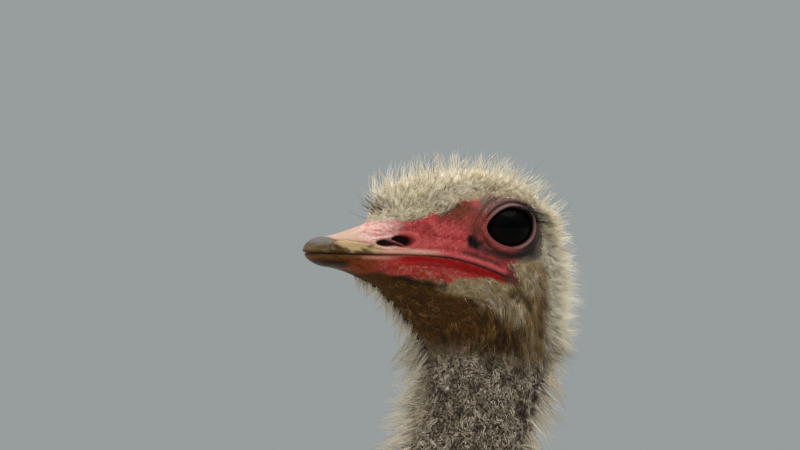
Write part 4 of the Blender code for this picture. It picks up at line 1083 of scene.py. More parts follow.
def make_head_down(finish):
    """The upright bristly down of the crown, and the softer down of the brow, cheeks, ears, nape and
    throat. The crown's meets the rear's 60 mm behind the eye's point and between 3 and 10 mm above it."""
    crown_end = -60  # how far ahead of the eye's point the crown's down ends
    rng = np.random.default_rng(11)

    def on_crown(points, along, turn):
        ahead, up = from_eye(points)
        thick = near_face(bare_distance(points), 3.5 + 4 * smoothstep(24, 32, ahead))
        return thick * (up > 3 + 6 * rng.random(len(up))) * (ahead > crown_end)

    along, turn = scattered(rng, 15000, (58, 205), (-1.9, 1.9), on_crown)
    place = body_point(along, turn)
    ahead, far, coat = from_eye(place)[0], bare_distance(place), coat_depth(along, turn)
    length = (3.4 + 10.2 * smoothstep(0, 15, far)) * (0.45 + 0.95 * rng.random(len(along)) ** 2)
    length *= smoothstep(-7, 9, coat) * mix(1.0, 0.5, smoothstep(0.72, 0.93, np.cos(turn)))
    forehead = smoothstep(60, 84, ahead)
    stand = mix(0.7 + 0.25 * smoothstep(0, 12, far), 0.97, forehead)
    upright = 0.75 * smoothstep(2, 12, far) * smoothstep(-40, 0, ahead)
    down_piece("crown_down", rng, along, turn, length, stand, -0.25 * forehead + 0.05, 0.17,
               0.65 + 0.3 * rng.random(len(along)), finish, in_each=20, pull=0.72,
               upright=upright[:, None])

    def in_crown(points, along, turn):
        return (bare_distance(points) > 6) * (from_eye(points)[0] > crown_end)

    along, turn = scattered(rng, 1600, (66, 200), (-1.1, 1.1), in_crown)
    down_piece("crown_wisps", rng, along, turn, 9 + 15 * rng.random(len(along)), 0.9,
               0.25 * rng.normal(size=len(along)), 0.25, 0.4 + 0.2 * rng.random(len(along)), finish,
               points_each=4, in_each=5, pull=0.7, upright=0.45)

    def on_rear(points, along, turn):
        ahead, up = from_eye(points)
        below_crown = ((up < 10) | (ahead < crown_end + 4)) * (up > DOWN_ENDS_UP - 4 * rng.random(len(up)))
        return near_face(bare_distance(points)) * below_crown

    def on_cheek(points, along, turn):
        return on_rear(points, along, turn) * (np.cos(turn) < 0.6)

    def on_nape(points, along, turn):
        return on_rear(points, along, turn) * (np.cos(turn) > 0.5)

    for name, seed, limits in (
        ("cheek_and_throat_down", 12, (0.0, math.pi)), ("cheek_and_throat_down_right", 13, (-math.pi, 0.0)),
    ):
        rng = np.random.default_rng(seed)
        along, turn = scattered(rng, 9200, (40, 262), limits, on_cheek)
        far, coat, dorsal = bare_distance(body_point(along, turn)), coat_depth(along, turn), np.cos(turn)
        length = np.minimum(3.8 + 0.45 * np.maximum(far, 0), 3.5 + 0.75 * coat)
        length *= (0.7 + 0.6 * rng.random(len(along))) * (1 - 0.4 * smoothstep(-0.3, -0.75, dorsal))
        stand = 0.32 + 0.3 * smoothstep(0.2, 0.6, dorsal) - 0.1 * smoothstep(-0.3, -0.8, dorsal)
        down_piece(name, rng, along, turn, length, stand, 0.25, 0.22,
                   0.75 + 0.35 * rng.random(len(along)), finish, in_each=16, pull=0.6)

    rng = np.random.default_rng(14)
    along, turn = scattered(rng, 11000, (100, 262), (-1.2, 1.2), on_nape)
    dorsal = smoothstep(0.45, 0.8, np.cos(turn))
    length = (9 + 13 * dorsal) * (0.45 + 0.85 * rng.random(len(along)) ** 1.5)
    length *= mix(1.0, 0.66, smoothstep(-35, -5, from_eye(body_point(along, turn))[1]))
    down_piece("nape_down", rng, along, turn, length, 0.6 + 0.37 * dorsal, 0.05, 0.14,
               0.5 + 0.25 * rng.random(len(along)), finish, in_each=14)


def make_neck_down(finish):
    """The neck's short curly down, closest where the neck is thin, and the long loose pale hairs that stand
    straight out of its back and of its right front edge, up to the throat."""
    def on_neck(points, along, turn):
        return smoothstep(DOWN_ENDS_UP + 6, DOWN_ENDS_UP - 2, from_eye(points)[1])

    for name, seed, count, limits, width, in_each, pull in (
        ("neck_curls_top", 21, 14000, (190, 310), 1.25, 8, 0.7),
        ("neck_curls_upper", 22, 6500, (300, 640), 2.2, 4, 0.5),
        ("neck_curls_lower", 25, 5200, (630, 1160), 3.4, 1, 0.0),
    ):
        rng = np.random.default_rng(seed)
        along, turn = scattered(rng, count, limits, (-math.pi, math.pi), on_neck)
        size = 1 + 0.8 * smoothstep(310, 640, along) + 1.6 * smoothstep(800, 1150, along)
        length = 4.4 * size * (0.75 + 0.5 * rng.random(len(along)))
        even = 0.25 * smoothstep(310, 400, along) + 0.3 * smoothstep(600, 700, along)
        down_piece(name, rng, along, turn, length, 0.6, 0.4 * rng.normal(size=len(along)), 0.45,
                   width * (0.75 + 0.4 * rng.random(len(along))), finish, in_each=in_each,
                   pull=pull, even=even)

    def on_edges(points, along, turn):
        dorsal, up = np.cos(turn), from_eye(points)[1]
        front_right = smoothstep(-0.3, -0.8, dorsal) * smoothstep(-1.95, -2.35, turn)
        edges = front_right + smoothstep(0.45, 0.85, dorsal)
        return edges * ((dorsal < -0.45) * (bare_distance(points) > 1.0) + (up < -62))

    for name, seed, count, limits, points_each in (
        ("throat_and_neck_hairs", 23, 3200, (45, 330), 4),
        ("neck_hairs_upper", 24, 2800, (320, 640), 3),
        ("neck_hairs_lower", 26, 1800, (630, 1120), 3),
    ):
        rng = np.random.default_rng(seed)
        along, turn = scattered(rng, count, limits, (-math.pi, math.pi), on_edges)
        grown = (0.45 + 0.55 * smoothstep(60, 150, along)) * (1 + 0.3 * smoothstep(600, 1000, along))
        length = grown * (9 + 21 * rng.random(len(along)) ** 1.3)
        curl = 0.2 + 0.12 * rng.normal(size=len(along))
        down_piece(name, rng, along, turn, length, 0.93, curl, 0.13, 0.55 + 0.25 * rng.random(len(along)),
                   finish, points_each, in_each=7, pull=0.88, pale=0.7)


# Bristles in the side view: the middle of a patch (ahead, up), its half length and half height, how many, the
# shortest and the longest, and the way they lean (ahead, up).
BRISTLES = [
    (27.5, -9.5, 3.2, 3.2, 80, 2.0, 4.5, 0.25, -0.35),  # before the eye
    (41, 13, 11, 2.2, 40, 2.2, 4.6, 0.1, 0.4),  # along the brow
    (14, -17, 12, 1.6, 50, 1.6, 3.2, -0.5, -0.3),  # under the eye
    (82, 18, 3.5, 7, 22, 9.0, 15.0, 0.7, 0.3),  # on the forehead
    (48, -37, 2.5, 1.5, 16, 3.0, 6.0, 0.0, -0.8),  # on the jaw
]


def lashes(rng, sign, count):
    """The roots and tips of lashes along the upper lid, longest behind. The root of each is where a ray
    from the middle of the opening crosses its edge, a superellipse."""
    lash = np.radians(rng.uniform(70, 172, count))
    edge = rng.uniform(0.6, 1.8, count)
    (half_length, half_height), power = OPENING_HALF, OPENING_POWER["rear_up"]
    reach = np.abs(np.cos(lash)) ** power + np.abs(np.sin(lash) * half_length / half_height) ** power
    reach = half_length * (1 / reach ** (1 / power)) + edge
    ahead, up = OPENING_AT[0] + reach * np.cos(lash), OPENING_AT[1] + reach * np.sin(lash)
    out = np.maximum(dome(ORBIT_HALF, ahead, up), dome(GLOBE_HALF, ahead, up)) + 0.4
    rear = smoothstep(80, 135, np.degrees(lash))
    grown = 2.5 + 10.5 * rear * rng.uniform(0.4, 1.15, count)
    side = np.full(count, float(sign))
    tip = from_globe(ahead - grown * (0.3 + 0.6 * rear), up - 0.22 * grown, out + 0.62 * grown, side)
    return from_globe(ahead, up, out, side), tip


def make_bristles():
    """Black lashes on the upper lid, bristles by the tear spot, the brow and the jaw, stiff whiskers on the
    forehead, and a few long loose hairs above the crown. Each bends through four points."""
    finish, _, shader = new_material("black_bristles", Roughness=0.5, IOR=1.5)
    shader.inputs["Base Color"].default_value = colour("#17110d")
    rng = np.random.default_rng(61)
    lash_count, hair_count = 84, 70
    groups = []  # each has its roots, its tips and its width
    for sign in (1, -1):
        groups.append((*lashes(rng, sign, lash_count), 0.46))
        for ahead, up, half_length, half_height, count, shortest, longest, lean_ahead, lean_up in BRISTLES:
            want_ahead = HEAD_AHEAD + ahead + half_length * rng.uniform(-1, 1, count)
            want_up = HEAD_UP + up + half_height * rng.uniform(-1, 1, count)
            along, turn = place_from_side(want_ahead, want_up, sign)
            root, outward = skin_point(along, turn), normal_of(body_point, along, turn)
            lean = np.array([0, lean_ahead, lean_up])
            way = unit(outward * 0.75 + lean + 0.3 * rng.normal(size=root.shape))
            tip = root + way * rng.uniform(shortest, longest, count)[:, None]
            groups.append((root - 0.4 * outward, tip, 0.3))
    along, turn = scattered(rng, hair_count, (62, 170), (-0.9, 0.9), anywhere)
    root, outward = skin_point(along, turn), normal_of(body_point, along, turn)
    way = unit(outward + 0.22 * rng.normal(size=root.shape))
    groups.append((root, root + way * rng.uniform(15, 25, len(along))[:, None], 0.26))
    root, tip = (np.concatenate([group[part] for group in groups]) for part in (0, 1))
    width = np.concatenate([np.full(len(group[0]), group[2]) for group in groups])
    reach = np.linalg.norm(tip - root, axis=1, keepdims=True)
    sag = 0.12 * reach * unit(np.cross(tip - root, rng.normal(size=root.shape)))
    lines = np.stack([root, mix(root, tip, 0.35) + 0.8 * sag, mix(root, tip, 0.7) + sag, tip], axis=1)
    across = width[:, None] / 2 * np.array([1.0, 0.8, 0.5])
    flat = (root[:, 1:] - root[:, 1:].min(axis=0)) / np.ptp(root[:, 1:], axis=0)
    broadside = unit(rng.normal(size=root.shape))
    bristles = strand_piece("lashes_and_bristles", lines, across, across, broadside, flat, finish, {})


def place_from_side(ahead, up, sign):
    """Where on the body's surface a point of the side view is, found by stepping towards it from a first
    guess. It is looked for on the outer flank, between the back and the throat."""
    along = np.interp(-ahead, [-640, -593, -544, -500, -449], [0, 53, 102, 130, 170])
    turn = np.full(len(ahead), math.pi / 2)
    for _ in range(14):
        place = body_point(along, turn)
        steps = side_steps(along, turn, ahead - place[:, 1], up - place[:, 2], 1.0, 1.0)
        along = along + np.clip(steps[0], -12, 12)
        turn = np.clip(turn + np.clip(steps[1], -0.4, 0.4), 0.15, 2.9)
    return along, sign * turn


# ---------------------------------------------------------------- body, wings and tail


def wing_table():
    """The wing's rows as (ahead, top, ahead, bottom, half thickness, 0.5, 1, out at the top, out at the
    bottom)."""
    ahead, top, bottom, out_top, out_bottom, thick = np.array(WING, float).T
    half, one = np.full_like(ahead, 0.5), np.ones_like(ahead)
    return np.stack([ahead, top, ahead, bottom, thick, half, one, out_top, out_bottom], axis=1)


WING_ROWS = wing_table()
WING_KNOTS = -WING_ROWS[:, 0] + WING_ROWS[0, 0]
TAIL_ROWS = np.array(TAIL, float)
TAIL_KNOTS = knots_of(TAIL_ROWS)


def wing_point(sign):
    """The wing's surface: an upright ring whose middle leans out from its top to its bottom edge. A turn
    from 0 to pi runs down the outer face."""
    def point(along, turn):
        rows = read_rows(WING_ROWS, WING_KNOTS, along)
        placed = ring_point(rows, turn)
        share = (1 - np.cos(turn)) / 2
        out = placed[..., 0] + mix(rows[..., 7], rows[..., 8], share)
        return np.stack([sign * out, placed[..., 1], placed[..., 2]], axis=-1)
    return point


def tail_point(along, turn):
    """The tail's surface, by length from its root and turn from its upper side."""
    return ring_point(read_rows(TAIL_ROWS, TAIL_KNOTS, along), turn)


def core_piece(name, surface, last, inset, finish, nodes, pale):
    """The dense under-plumage of a wing or tail: its surface drawn in by inset and a little uneven, closed
    at both ends, with pale(along, turn) as the share of it under white plumes."""
    rings, around = 60, 72
    turn = 2 * math.pi * np.arange(around) / around
    along, turn = np.meshgrid(np.linspace(0, last, rings), turn, indexing="ij")
    points = surface(along, turn)
    middle = points.mean(axis=1, keepdims=True)
    reach = np.linalg.norm(points - middle, axis=-1, keepdims=True)
    uneven = 3.0 * np.sin(along / 9.0 + 3 * np.sin(turn * 5)) * np.sin(turn * 17 + along / 23.0)
    drawn_in = (inset + uneven[..., None]) / np.maximum(reach, 1)
    points = middle + (points - middle) * np.maximum(1 - drawn_in, 0.25)
    centre = middle[rings // 2]
    points = centre + (points - centre) * 0.97
    flat, faces = closed_tube(points)
    share = np.append(pale(along, turn).ravel(), [0.0, 1.0])
    values = {"tone": np.full(len(flat), 0.3), "tip": np.full(len(flat), 0.3), "pale": share}
    made = mesh_piece(name, flat, faces, finish, values)
    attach(made, "root")
    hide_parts(*nodes)


def plume_piece(name, rng, surface, last, along, turn, length, fall, rise, half_width, finish, barbs=10,
                loose=12.0, droop=0.35, coarse=1.0, unruly=1.0):
    """Loose plumes on a surface. A plume's narrow vane runs from its root along the surface and round it by
    its angle of fall, bowed a little, rising by rise(along, turn, share) over it and by up to loose mm more
    at its tip. Long fine barbs leave it on both sides, ever closer to its own course and longest past the
    middle. They roll about it, so that neighbours cross, and droop along the surface at their tips."""
    count, stations = len(along), 6
    share = np.linspace(0, 1, stations)[None, :]
    by_along, by_turn = (np.linalg.norm(slope, axis=1)[:, None] for slope in slopes_of(surface, along, turn))
    way = length[:, None] * share
    bowed = np.reshape(fall * np.ones(count), (count, 1)) + 0.3 * rng.normal(size=(count, 1)) * share
    at = np.minimum(along[:, None] + way * np.cos(bowed) / by_along, last)
    round_at = turn[:, None] + np.clip(way * np.sin(bowed) / np.maximum(by_turn, 30), -1.1, 1.1)
    outward = normal_of(surface, at, round_at)
    lift = loose * rng.random(count)[:, None] ** 2 * share ** 2
    line = surface(at, round_at) + outward * (rise(at, round_at, share) + lift)[..., None]
    course = unit(np.gradient(line, axis=1))
    places = unwrapped(along, turn)
    tone = rng.random(count)

    lines, flats, shares = [], [], []
    for hand in (1, -1):
        where = np.linspace(0.08, 1.0, barbs) + rng.normal(size=(count, barbs)) * 0.35 / barbs
        where = np.clip(where, 0.02, 1.0)
        low = np.minimum((where * (stations - 1)).astype(int), stations - 2)
        part = (where * (stations - 1) - low)[..., None]
        base, ahead, above = (
            mix(*(np.take_along_axis(grid, low[..., None] + step, 1) for step in (0, 1)), part)
            for grid in (line, course, outward)
        )
        roll = 0.22 * rng.normal(size=(count, 1)) + unruly * 0.18 * rng.normal(size=(count, barbs))
        roll = roll[..., None]
        sideways = hand * np.cos(roll) * np.cross(above, ahead) + np.sin(roll) * above
        angle = (np.radians(mix(64, 14, where)) + unruly * 0.2 * rng.normal(size=(count, barbs)))[..., None]
        leave = ahead * np.cos(angle) + sideways * np.sin(angle)
        shape = 0.35 + 0.65 * np.sin(math.pi * (0.1 + 0.72 * where))
        reach = (half_width[:, None] * shape * (0.65 + 0.6 * rng.random((count, barbs))))[..., None]
        stray = rng.normal(size=(count, barbs, 3)) * 0.09 * unruly
        down = -np.array([0.0, 0.0, 1.0]) + above * above[..., 2:]
        middle = 0.55 * leave + 0.04 * ahead + 0.5 * stray + 0.04 * above + 0.28 * droop * down
        middle = base + reach * middle
        tip = base + reach * (0.85 * leave + 0.40 * ahead + stray + droop * down)
        stands = np.sum((tip - base) * above, axis=-1, keepdims=True)
        tip -= above * np.maximum(stands - 7.0, 0.0)
        for place in (middle, tip):
            place[..., 0] = np.clip(place[..., 0], -WIDEST, WIDEST)
        lines.append(np.stack([base, middle, tip], axis=2).reshape(-1, 3, 3))
        flats.append(above.reshape(-1, 3))
        shares.append(where.ravel())
    barb_lines, barb_up = np.concatenate(lines), np.concatenate(flats)
    owner = np.tile(np.repeat(np.arange(count), barbs), 2)
    wide = coarse * np.array([0.55, 0.85]) * (0.75 + 0.5 * rng.random(len(owner)))[:, None]
    barb_tone = np.clip(tone[owner] + 0.15 * rng.normal(size=len(owner)), 0, 1)
    made = strand_piece(name, barb_lines, wide, 0.5 * wide, barb_up, places[owner], finish,
                        {"tone": barb_tone, "far": np.concatenate(shares)})
    vane = half_width[:, None] * 0.07 * np.array([0.5, 0.9, 1.0, 0.8, 0.45])
    vanes = strand_piece(name + "_vanes", line, vane, np.full((count, 5), 0.8), outward[:, 2], places, finish,
                         {"tone": tone, "far": np.full(count, 0.5)})


def plumage_material(name, dark, light, stained, stain_from=2.0):
    """Soft ostrich plumage: matt, open barbs that catch a little light, mottled from plume to plume, and
    stained towards the ends where it drags. Painted shade darkens each barb towards its root and the gaps
    between its locks."""
    made, tree, shader = new_material(name, Roughness=0.75, IOR=1.5, Specular_IOR_Level=0.25,
                                      Sheen_Weight=0.08, Sheen_Roughness=0.4)
    tone, tip, far = (add(tree, "Attribute", out="Fac", attribute_name=key) for key in ("tone", "tip", "far"))
    patch = add(tree, "MapRange", [object_noise(tree, 60, 2.0), 0.35, 0.65, -0.25, 0.25])
    tone = add(tree, "MapRange", [add(tree, "Math", [tone, patch], operation="ADD"), 0.0, 1.0])
    dragged = add(tree, "MapRange", [far, 0.45, stain_from])
    outer = add(tree, "MapRange", [tip, 0.0, 1.0, 0.4, 1.0])
    stain = add(tree, "Math", [dragged, outer], operation="MULTIPLY")
    barbs = painted(tree, dark, [(tone, light), ("pale", "#cfc8b8"), (stain, stained)])
    # Painted shade: darker towards each barb's root.
    depth = add(tree, "MapRange", [tip, 0.0, 0.6, 0.75, 1.0])
    locks = object_noise(tree, 5, 3.0, 0.5, (1.0, 0.35, 0.55))
    # Painted shade between the locks.
    between = add(tree, "MapRange", [locks, 0.35, 0.6, 0.72, 1.05])
    barbs = painted(tree, barbs, [(1.0, depth), (1.0, between)], "MULTIPLY")
    tree.links.new(barbs, shader.inputs["Base Color"])
    bump = add(tree, "Bump", {"Strength": 0.8, "Distance": 2.0 * MM, "Height": locks})
    tree.links.new(bump, shader.inputs["Normal"])
    return made


def make_body_plumes(black):
    """Black plumes over the trunk, lying back and falling down its sides, thickest on the back, the breast
    and the belly where no wing lies over them, and a fringe of them hanging over the tops of the thighs."""
    start, last = TRUNK_START - 60, BODY_KNOTS[-1]

    def uncovered(points, along, turn):
        ahead, aside = points[:, 1], np.abs(turn)
        under_wing = smoothstep(300, 230, ahead) * smoothstep(0.75, 1.0, aside) * smoothstep(2.2, 1.9, aside)
        collar = 1 + 2.0 * smoothstep(start + 70, start - 20, along)
        back, breast = 0.55 * smoothstep(0.9, 0.3, aside), 0.8 * smoothstep(230, 310, ahead)
        return collar * (1 - 0.8 * under_wing) * (0.45 + back + breast)

    for side, sign, seed in (("left", 1, 31), ("right", -1, 32)):
        rng = np.random.default_rng(seed)
        along, turn = scattered(rng, 560, (start - 60, last - 40), (0.0, sign * math.pi), uncovered)
        low = rng.uniform(0.12, 0.5, (len(along), 1))

        def over_skin(at, turn, share):
            return coat_depth(at, turn) * mix(low - 0.1, low + 0.36, smoothstep(0, 0.6, share))

        size = 0.45 + 0.55 * smoothstep(start - 60, start + 190, along)
        length = size * (150 + 60 * rng.random(len(along)))
        fall = 8 + 40 * np.sin(np.abs(turn)) * rng.random(len(along))
        fall = sign * np.radians(fall) * (np.abs(turn) < 2.5)
        plume_piece("body_plumes_" + side, rng, body_point, last, along, turn, length, fall, over_skin,
                    size * (50 + 16 * rng.random(len(along))), black)

        rng = np.random.default_rng(seed + 4)
        along, turn = scattered(rng, 40, (start + 40, start + 420), (sign * 1.5, sign * 2.5), anywhere)
        length = 90 + 60 * rng.random(len(along))
        plume_piece("flank_plumes_" + side, rng, body_point, last, along, turn, length,
                    sign * np.radians(rng.uniform(50, 85, len(along))),
                    lambda at, turn, share: coat_depth(at, turn) * (0.5 + 0.6 * share),
                    40 + 14 * rng.random(len(along)), black, barbs=9, loose=30.0)

        count, thigh_length = 120, 500
        hock = (FOOT_AHEAD[side] - HOCK_BEHIND_FOOT, HOCK_UP, FOOT_OUT)
        thigh = limb_point(KNEE[side], hock, UPPER_LEG, sign)
        along, turn = rng.uniform(-110, 5, count), sign * rng.uniform(-0.6, 3.9, count)
        plume_piece("thigh_fringe_" + side, rng, lambda at, turn: thigh(at / thigh_length, turn), 300,
                    along, turn, 80 + 60 * rng.random(count), 0.25 * rng.normal(size=count),
                    lambda at, turn, share: 3 + 9 * share, 23 + 12 * rng.random(count), black,
                    barbs=9, loose=14.0)


def make_wings(black, white):
    """Each folded wing: a dense core, black coverts down to below its middle, and white plumes from under
    them that fill its lower and hinder edge."""
    last = WING_KNOTS[-1]

    def under_white(along, turn):
        return smoothstep(190, 280, along) * smoothstep(1.8, 2.15, turn) * smoothstep(3.9, 3.5, turn)

    for side, sign, seed in (("left", 1, 41), ("right", -1, 42)):
        surface = wing_point(sign)
        core_piece("wing_core_" + side, surface, last, 30.0, black, ["wing_" + side],
                   under_white)
        rng = np.random.default_rng(seed)
        edge_count, count = 90, 340
        along = np.concatenate([rng.uniform(0, 60, edge_count),
                                rng.uniform(10, last - 110, count - edge_count)])
        turn = rng.uniform(-0.7, 1.7, count) + 1.5 * rng.random(count) * smoothstep(170, 130, along)
        length = 150 + 70 * rng.random(count)
        plume_piece("wing_coverts_" + side, rng, surface, last, along, turn, length,
                    np.radians(22 + 26 * rng.random(count)),
                    lambda at, turn, share: mix(-24, -11, smoothstep(0, 0.4, share)),
                    46 + 18 * rng.random(count), black, barbs=10, loose=10.0)
        count = 250
        along, turn = rng.uniform(150, last - 50, count), rng.uniform(1.65, 3.1, count)
        length = 180 + 80 * rng.random(count)
        plume_piece("wing_plumes_" + side, rng, surface, last, along, turn, length,
                    np.radians(14 + 26 * rng.random(count)),
                    lambda at, turn, share: mix(-34, -13, smoothstep(0, 0.6, share)),
                    52 + 20 * rng.random(count), white, barbs=12, loose=12.0, droop=0.32,
                    coarse=1.35, unruly=0.45)


def make_tail(cream):
    """The drooping tail: a core and long cream plumes, stained and parted at their ends."""
    last, count = TAIL_KNOTS[-1], 360
    core_piece("tail_core", tail_point, last, 34.0, cream, ["tail"],
               lambda along, turn: np.zeros_like(along))
    rng = np.random.default_rng(51)
    along, turn = rng.uniform(0, last - 90, count), rng.uniform(-math.pi, math.pi, count)
    short = 1 - 0.45 * smoothstep(last - 260, last - 90, along)
    plume_piece("tail_plumes", rng, tail_point, last, along, turn, 170 + 110 * rng.random(count),
                np.radians(13 * rng.normal(size=count)),
                lambda at, turn, share: mix(-26, -6, smoothstep(0, 0.5, share)),
                short * (48 + 18 * rng.random(count)), cream, barbs=11, loose=18.0,
                droop=0.32, coarse=1.5, unruly=0.5)


# ---------------------------------------------------------------- legs and feet


def limb_point(start, end, table, sign):
    """A leg length's surface: rings square to the straight line between two joints and bowed back from it,
    at a share of the way along it. Before its start it goes straight on."""
    table, start, end = np.array(table, float), np.array(start, float), np.array(end, float)
    along = unit((end - start)[:2])
    front = np.array([-along[1], along[0]])

    def point(share, turn):
        rows = read_rows(table, table[:, 0], np.clip(share, table[0, 0], table[-1, 0]))
        line = start + share[..., None] * (end - start)
        centre, deep = line[..., :2] - rows[..., 1:2] * front, rows[..., 2:3] * front
        shape = np.broadcast_to([0.5, 1.0], rows[..., :2].shape)
        rings = np.concatenate([centre - deep, centre + deep, rows[..., 3:4], shape], axis=-1)
        placed = ring_point(rings, turn)
        placed[..., 0] += sign * line[..., 2]
        return placed
    return point


def limb_tube(start, end, table, sign, count=60, around=44):
    """The rings of a leg length from end to end."""
    share = np.linspace(table[0][0], table[-1][0], count)[:, None]
    return limb_point(start, end, table, sign)(share, 2 * math.pi * np.arange(around)[None, :] / around)


def foot_tube(rows, widest, power, foot_ahead, sign, out_by, splay, around=40):
    """Rings of a toe or claw, from (ahead, top, bottom, half width) turned out about the foot's joint."""
    ahead, top, bottom, width = rows.T
    flat = np.column_stack([ahead, top, ahead, bottom, width, widest, np.full(len(ahead), power)])
    points = ring_point(flat[:, None, :], (2 * math.pi * np.arange(around) / around)[None, :])
    out, forward = points[..., 0].copy(), points[..., 1].copy()
    points[..., 0] = sign * (FOOT_OUT + out_by + out * math.cos(splay) + forward * math.sin(splay))
    points[..., 1] = foot_ahead + forward * math.cos(splay) - out * math.sin(splay)
    return points


def toe_tube(table, foot_ahead, sign, out_by, splay):
    """A toe whose round underside reaches a little below the floor, to be pressed flat on it."""
    table = np.array(table, float)
    rows = read_rows(table, table[:, 0], np.linspace(table[0, 0], table[-1, 0], 48))
    ahead, top, half_width, widest_up = rows.T
    sunk = 6.0
    outline = np.column_stack([ahead, top, np.full(len(rows), -sunk), half_width])
    return foot_tube(outline, (top - widest_up) / (top + sunk), 0.8, foot_ahead, sign, out_by, splay)


def claw_points(base, scale, foot_ahead, sign, out_by, splay):
    """Rings of a claw from its base ahead of the foot's joint, held on or above the floor."""
    table = np.array(BIG_CLAW, float) * scale
    rows = read_rows(table, table[:, 0], np.linspace(table[0, 0], table[-1, 0], 30))
    ahead, middle, half_height, half_width = rows.T
    outline = np.column_stack([base + ahead, middle + half_height, middle - half_height, half_width])
    points = foot_tube(outline, np.full(len(rows), 0.6), 0.9, foot_ahead, sign, out_by, splay, 28)
    points[..., 2] = np.maximum(points[..., 2], 0.0)
    return points


def one_skin(name, tubes, voxel_mm, smoothing):
    """The closed tubes grown into one another: remeshed to small even faces and relaxed. Returns the
    object, its points in mm and their normals."""
    points, faces = [], []
    for tube in tubes:
        flat, triangles = closed_tube(tube)
        faces.append(triangles + sum(len(part) for part in points))
        points.append(flat)
    rough = mesh_piece(name + "_rough", np.vstack(points), np.vstack(faces), None)
    remesh = rough.modifiers.new("even", "REMESH")
    remesh.mode, remesh.voxel_size, remesh.use_smooth_shade = "VOXEL", voxel_mm * MM, True
    relax = rough.modifiers.new("relax", "SMOOTH")
    relax.factor, relax.iterations = 0.5, smoothing
    graph = bpy.context.evaluated_depsgraph_get()
    mesh = bpy.data.meshes.new_from_object(rough.evaluated_get(graph))
    bpy.data.objects.remove(rough)
    mesh.name = name
    made = bpy.data.objects.new(name, mesh)
    bpy.context.scene.collection.objects.link(made)
    co = np.empty(3 * len(mesh.vertices), np.float32)
    mesh.vertices.foreach_get("co", co)
    normal = np.empty_like(co)
    mesh.vertex_normals.foreach_get("vector", normal)
    placed = (co.reshape(-1, 3).astype(float) - (0, HIPS_Y * MM, 0)) / (MM, -MM, MM)
    return made, placed, normal.reshape(-1, 3) * (1, -1, 1)


def plates(phase):
    """The height, from 0 to 1, of overlapping plates from a steady count along them: each stands proud at its
    lower edge and sinks under the next."""
    part = phase - np.floor(phase)
    return (1 - part) * smoothstep(0.0, 0.25, part)


def make_leg_material():
    """Bare ostrich leg: grey-pink pimpled thigh skin, smooth red-tinged horn plates with dark seams down
    the shin and over the toes, small scales between them and rough pads under the toes."""
    made, tree, shader = new_material("bare_leg_skin_and_scutes", IOR=1.5, Specular_IOR_Level=0.35)
    shin, plate = (add(tree, "Attribute", out="Fac", attribute_name=key) for key in ("shin", "plate"))
    from_seam = add(tree, "Math", [plate, 0.5], operation="PINGPONG")
    dark_line = add(tree, "MapRange", [from_seam, 0.03, 0.11, 1.0, 0.0])
    dark_line = add(tree, "Math", [dark_line, shin], operation="MULTIPLY")
    mottle = add(tree, "MapRange", [object_noise(tree, 22), 0.35, 0.65])
    wear = add(tree, "MapRange", [object_noise(tree, 9, 4.0), 0.4, 0.65])
    face = painted(tree, "#86736a", [
        (mottle, "#a3897e"), ("shank", "#94806f"), (shin, painted(tree, "#a0594c", [(wear, "#bf9484")])),
        ("sole", "#54463c"), (dark_line, "#3d2b24"),
    ])
    where = add(tree, "TexCoord", out="Object")
    cells = add(tree, "TexVoronoi", {"Vector": where, "Scale": 1 / (4.5 * MM)}, feature="DISTANCE_TO_EDGE")
    edges = add(tree, "Math", [add(tree, "MapRange", [cells, 0.0, 0.12]), shin], operation="MAXIMUM")
    scales = add(tree, "MapRange", [edges, 0, 1, 0.72, 1.0])
    grime = add(tree, "MapRange", [object_noise(tree, 4, 4.0, 0.7), 0.35, 0.65, 0.8, 1.05])
    face = painted(tree, face, [(1.0, scales), (1.0, grime)], "MULTIPLY")
    tree.links.new(face, shader.inputs["Base Color"])
    tree.links.new(add(tree, "MapRange", [shin, 0, 1, 0.68, 0.45]), shader.inputs["Roughness"])
    pimples = object_noise(tree, 3.0)
    bump = add(tree, "Bump", {"Strength": 0.6, "Distance": 0.8 * MM, "Height": edges})
    bump = add(tree, "Bump", {"Strength": 0.5, "Distance": 0.8 * MM, "Height": pimples, "Normal": bump})
    bump = add(tree, "Bump", {"Strength": 0.8, "Distance": 1.2 * MM, "Height": dark_line, "Normal": bump},
               invert=True)
    tree.links.new(bump, shader.inputs["Normal"])
    return made


def make_claw_material():
    """Worn claw horn: dark grey-brown, blotched paler, slightly rough and with a low satin gloss."""
    made, tree, shader = new_material("claw_horn", IOR=1.54, Roughness=0.42)
    blotches = object_noise(tree, 3.0, 4.0)
    horn = painted(tree, "#3a322b", [(add(tree, "MapRange", [blotches, 0.35, 0.65]), "#6b5d4e")])
    tree.links.new(horn, shader.inputs["Base Color"])
    bump = add(tree, "Bump", {"Strength": 0.4, "Distance": 0.5 * MM, "Height": blotches})
    tree.links.new(bump, shader.inputs["Normal"])
    return made


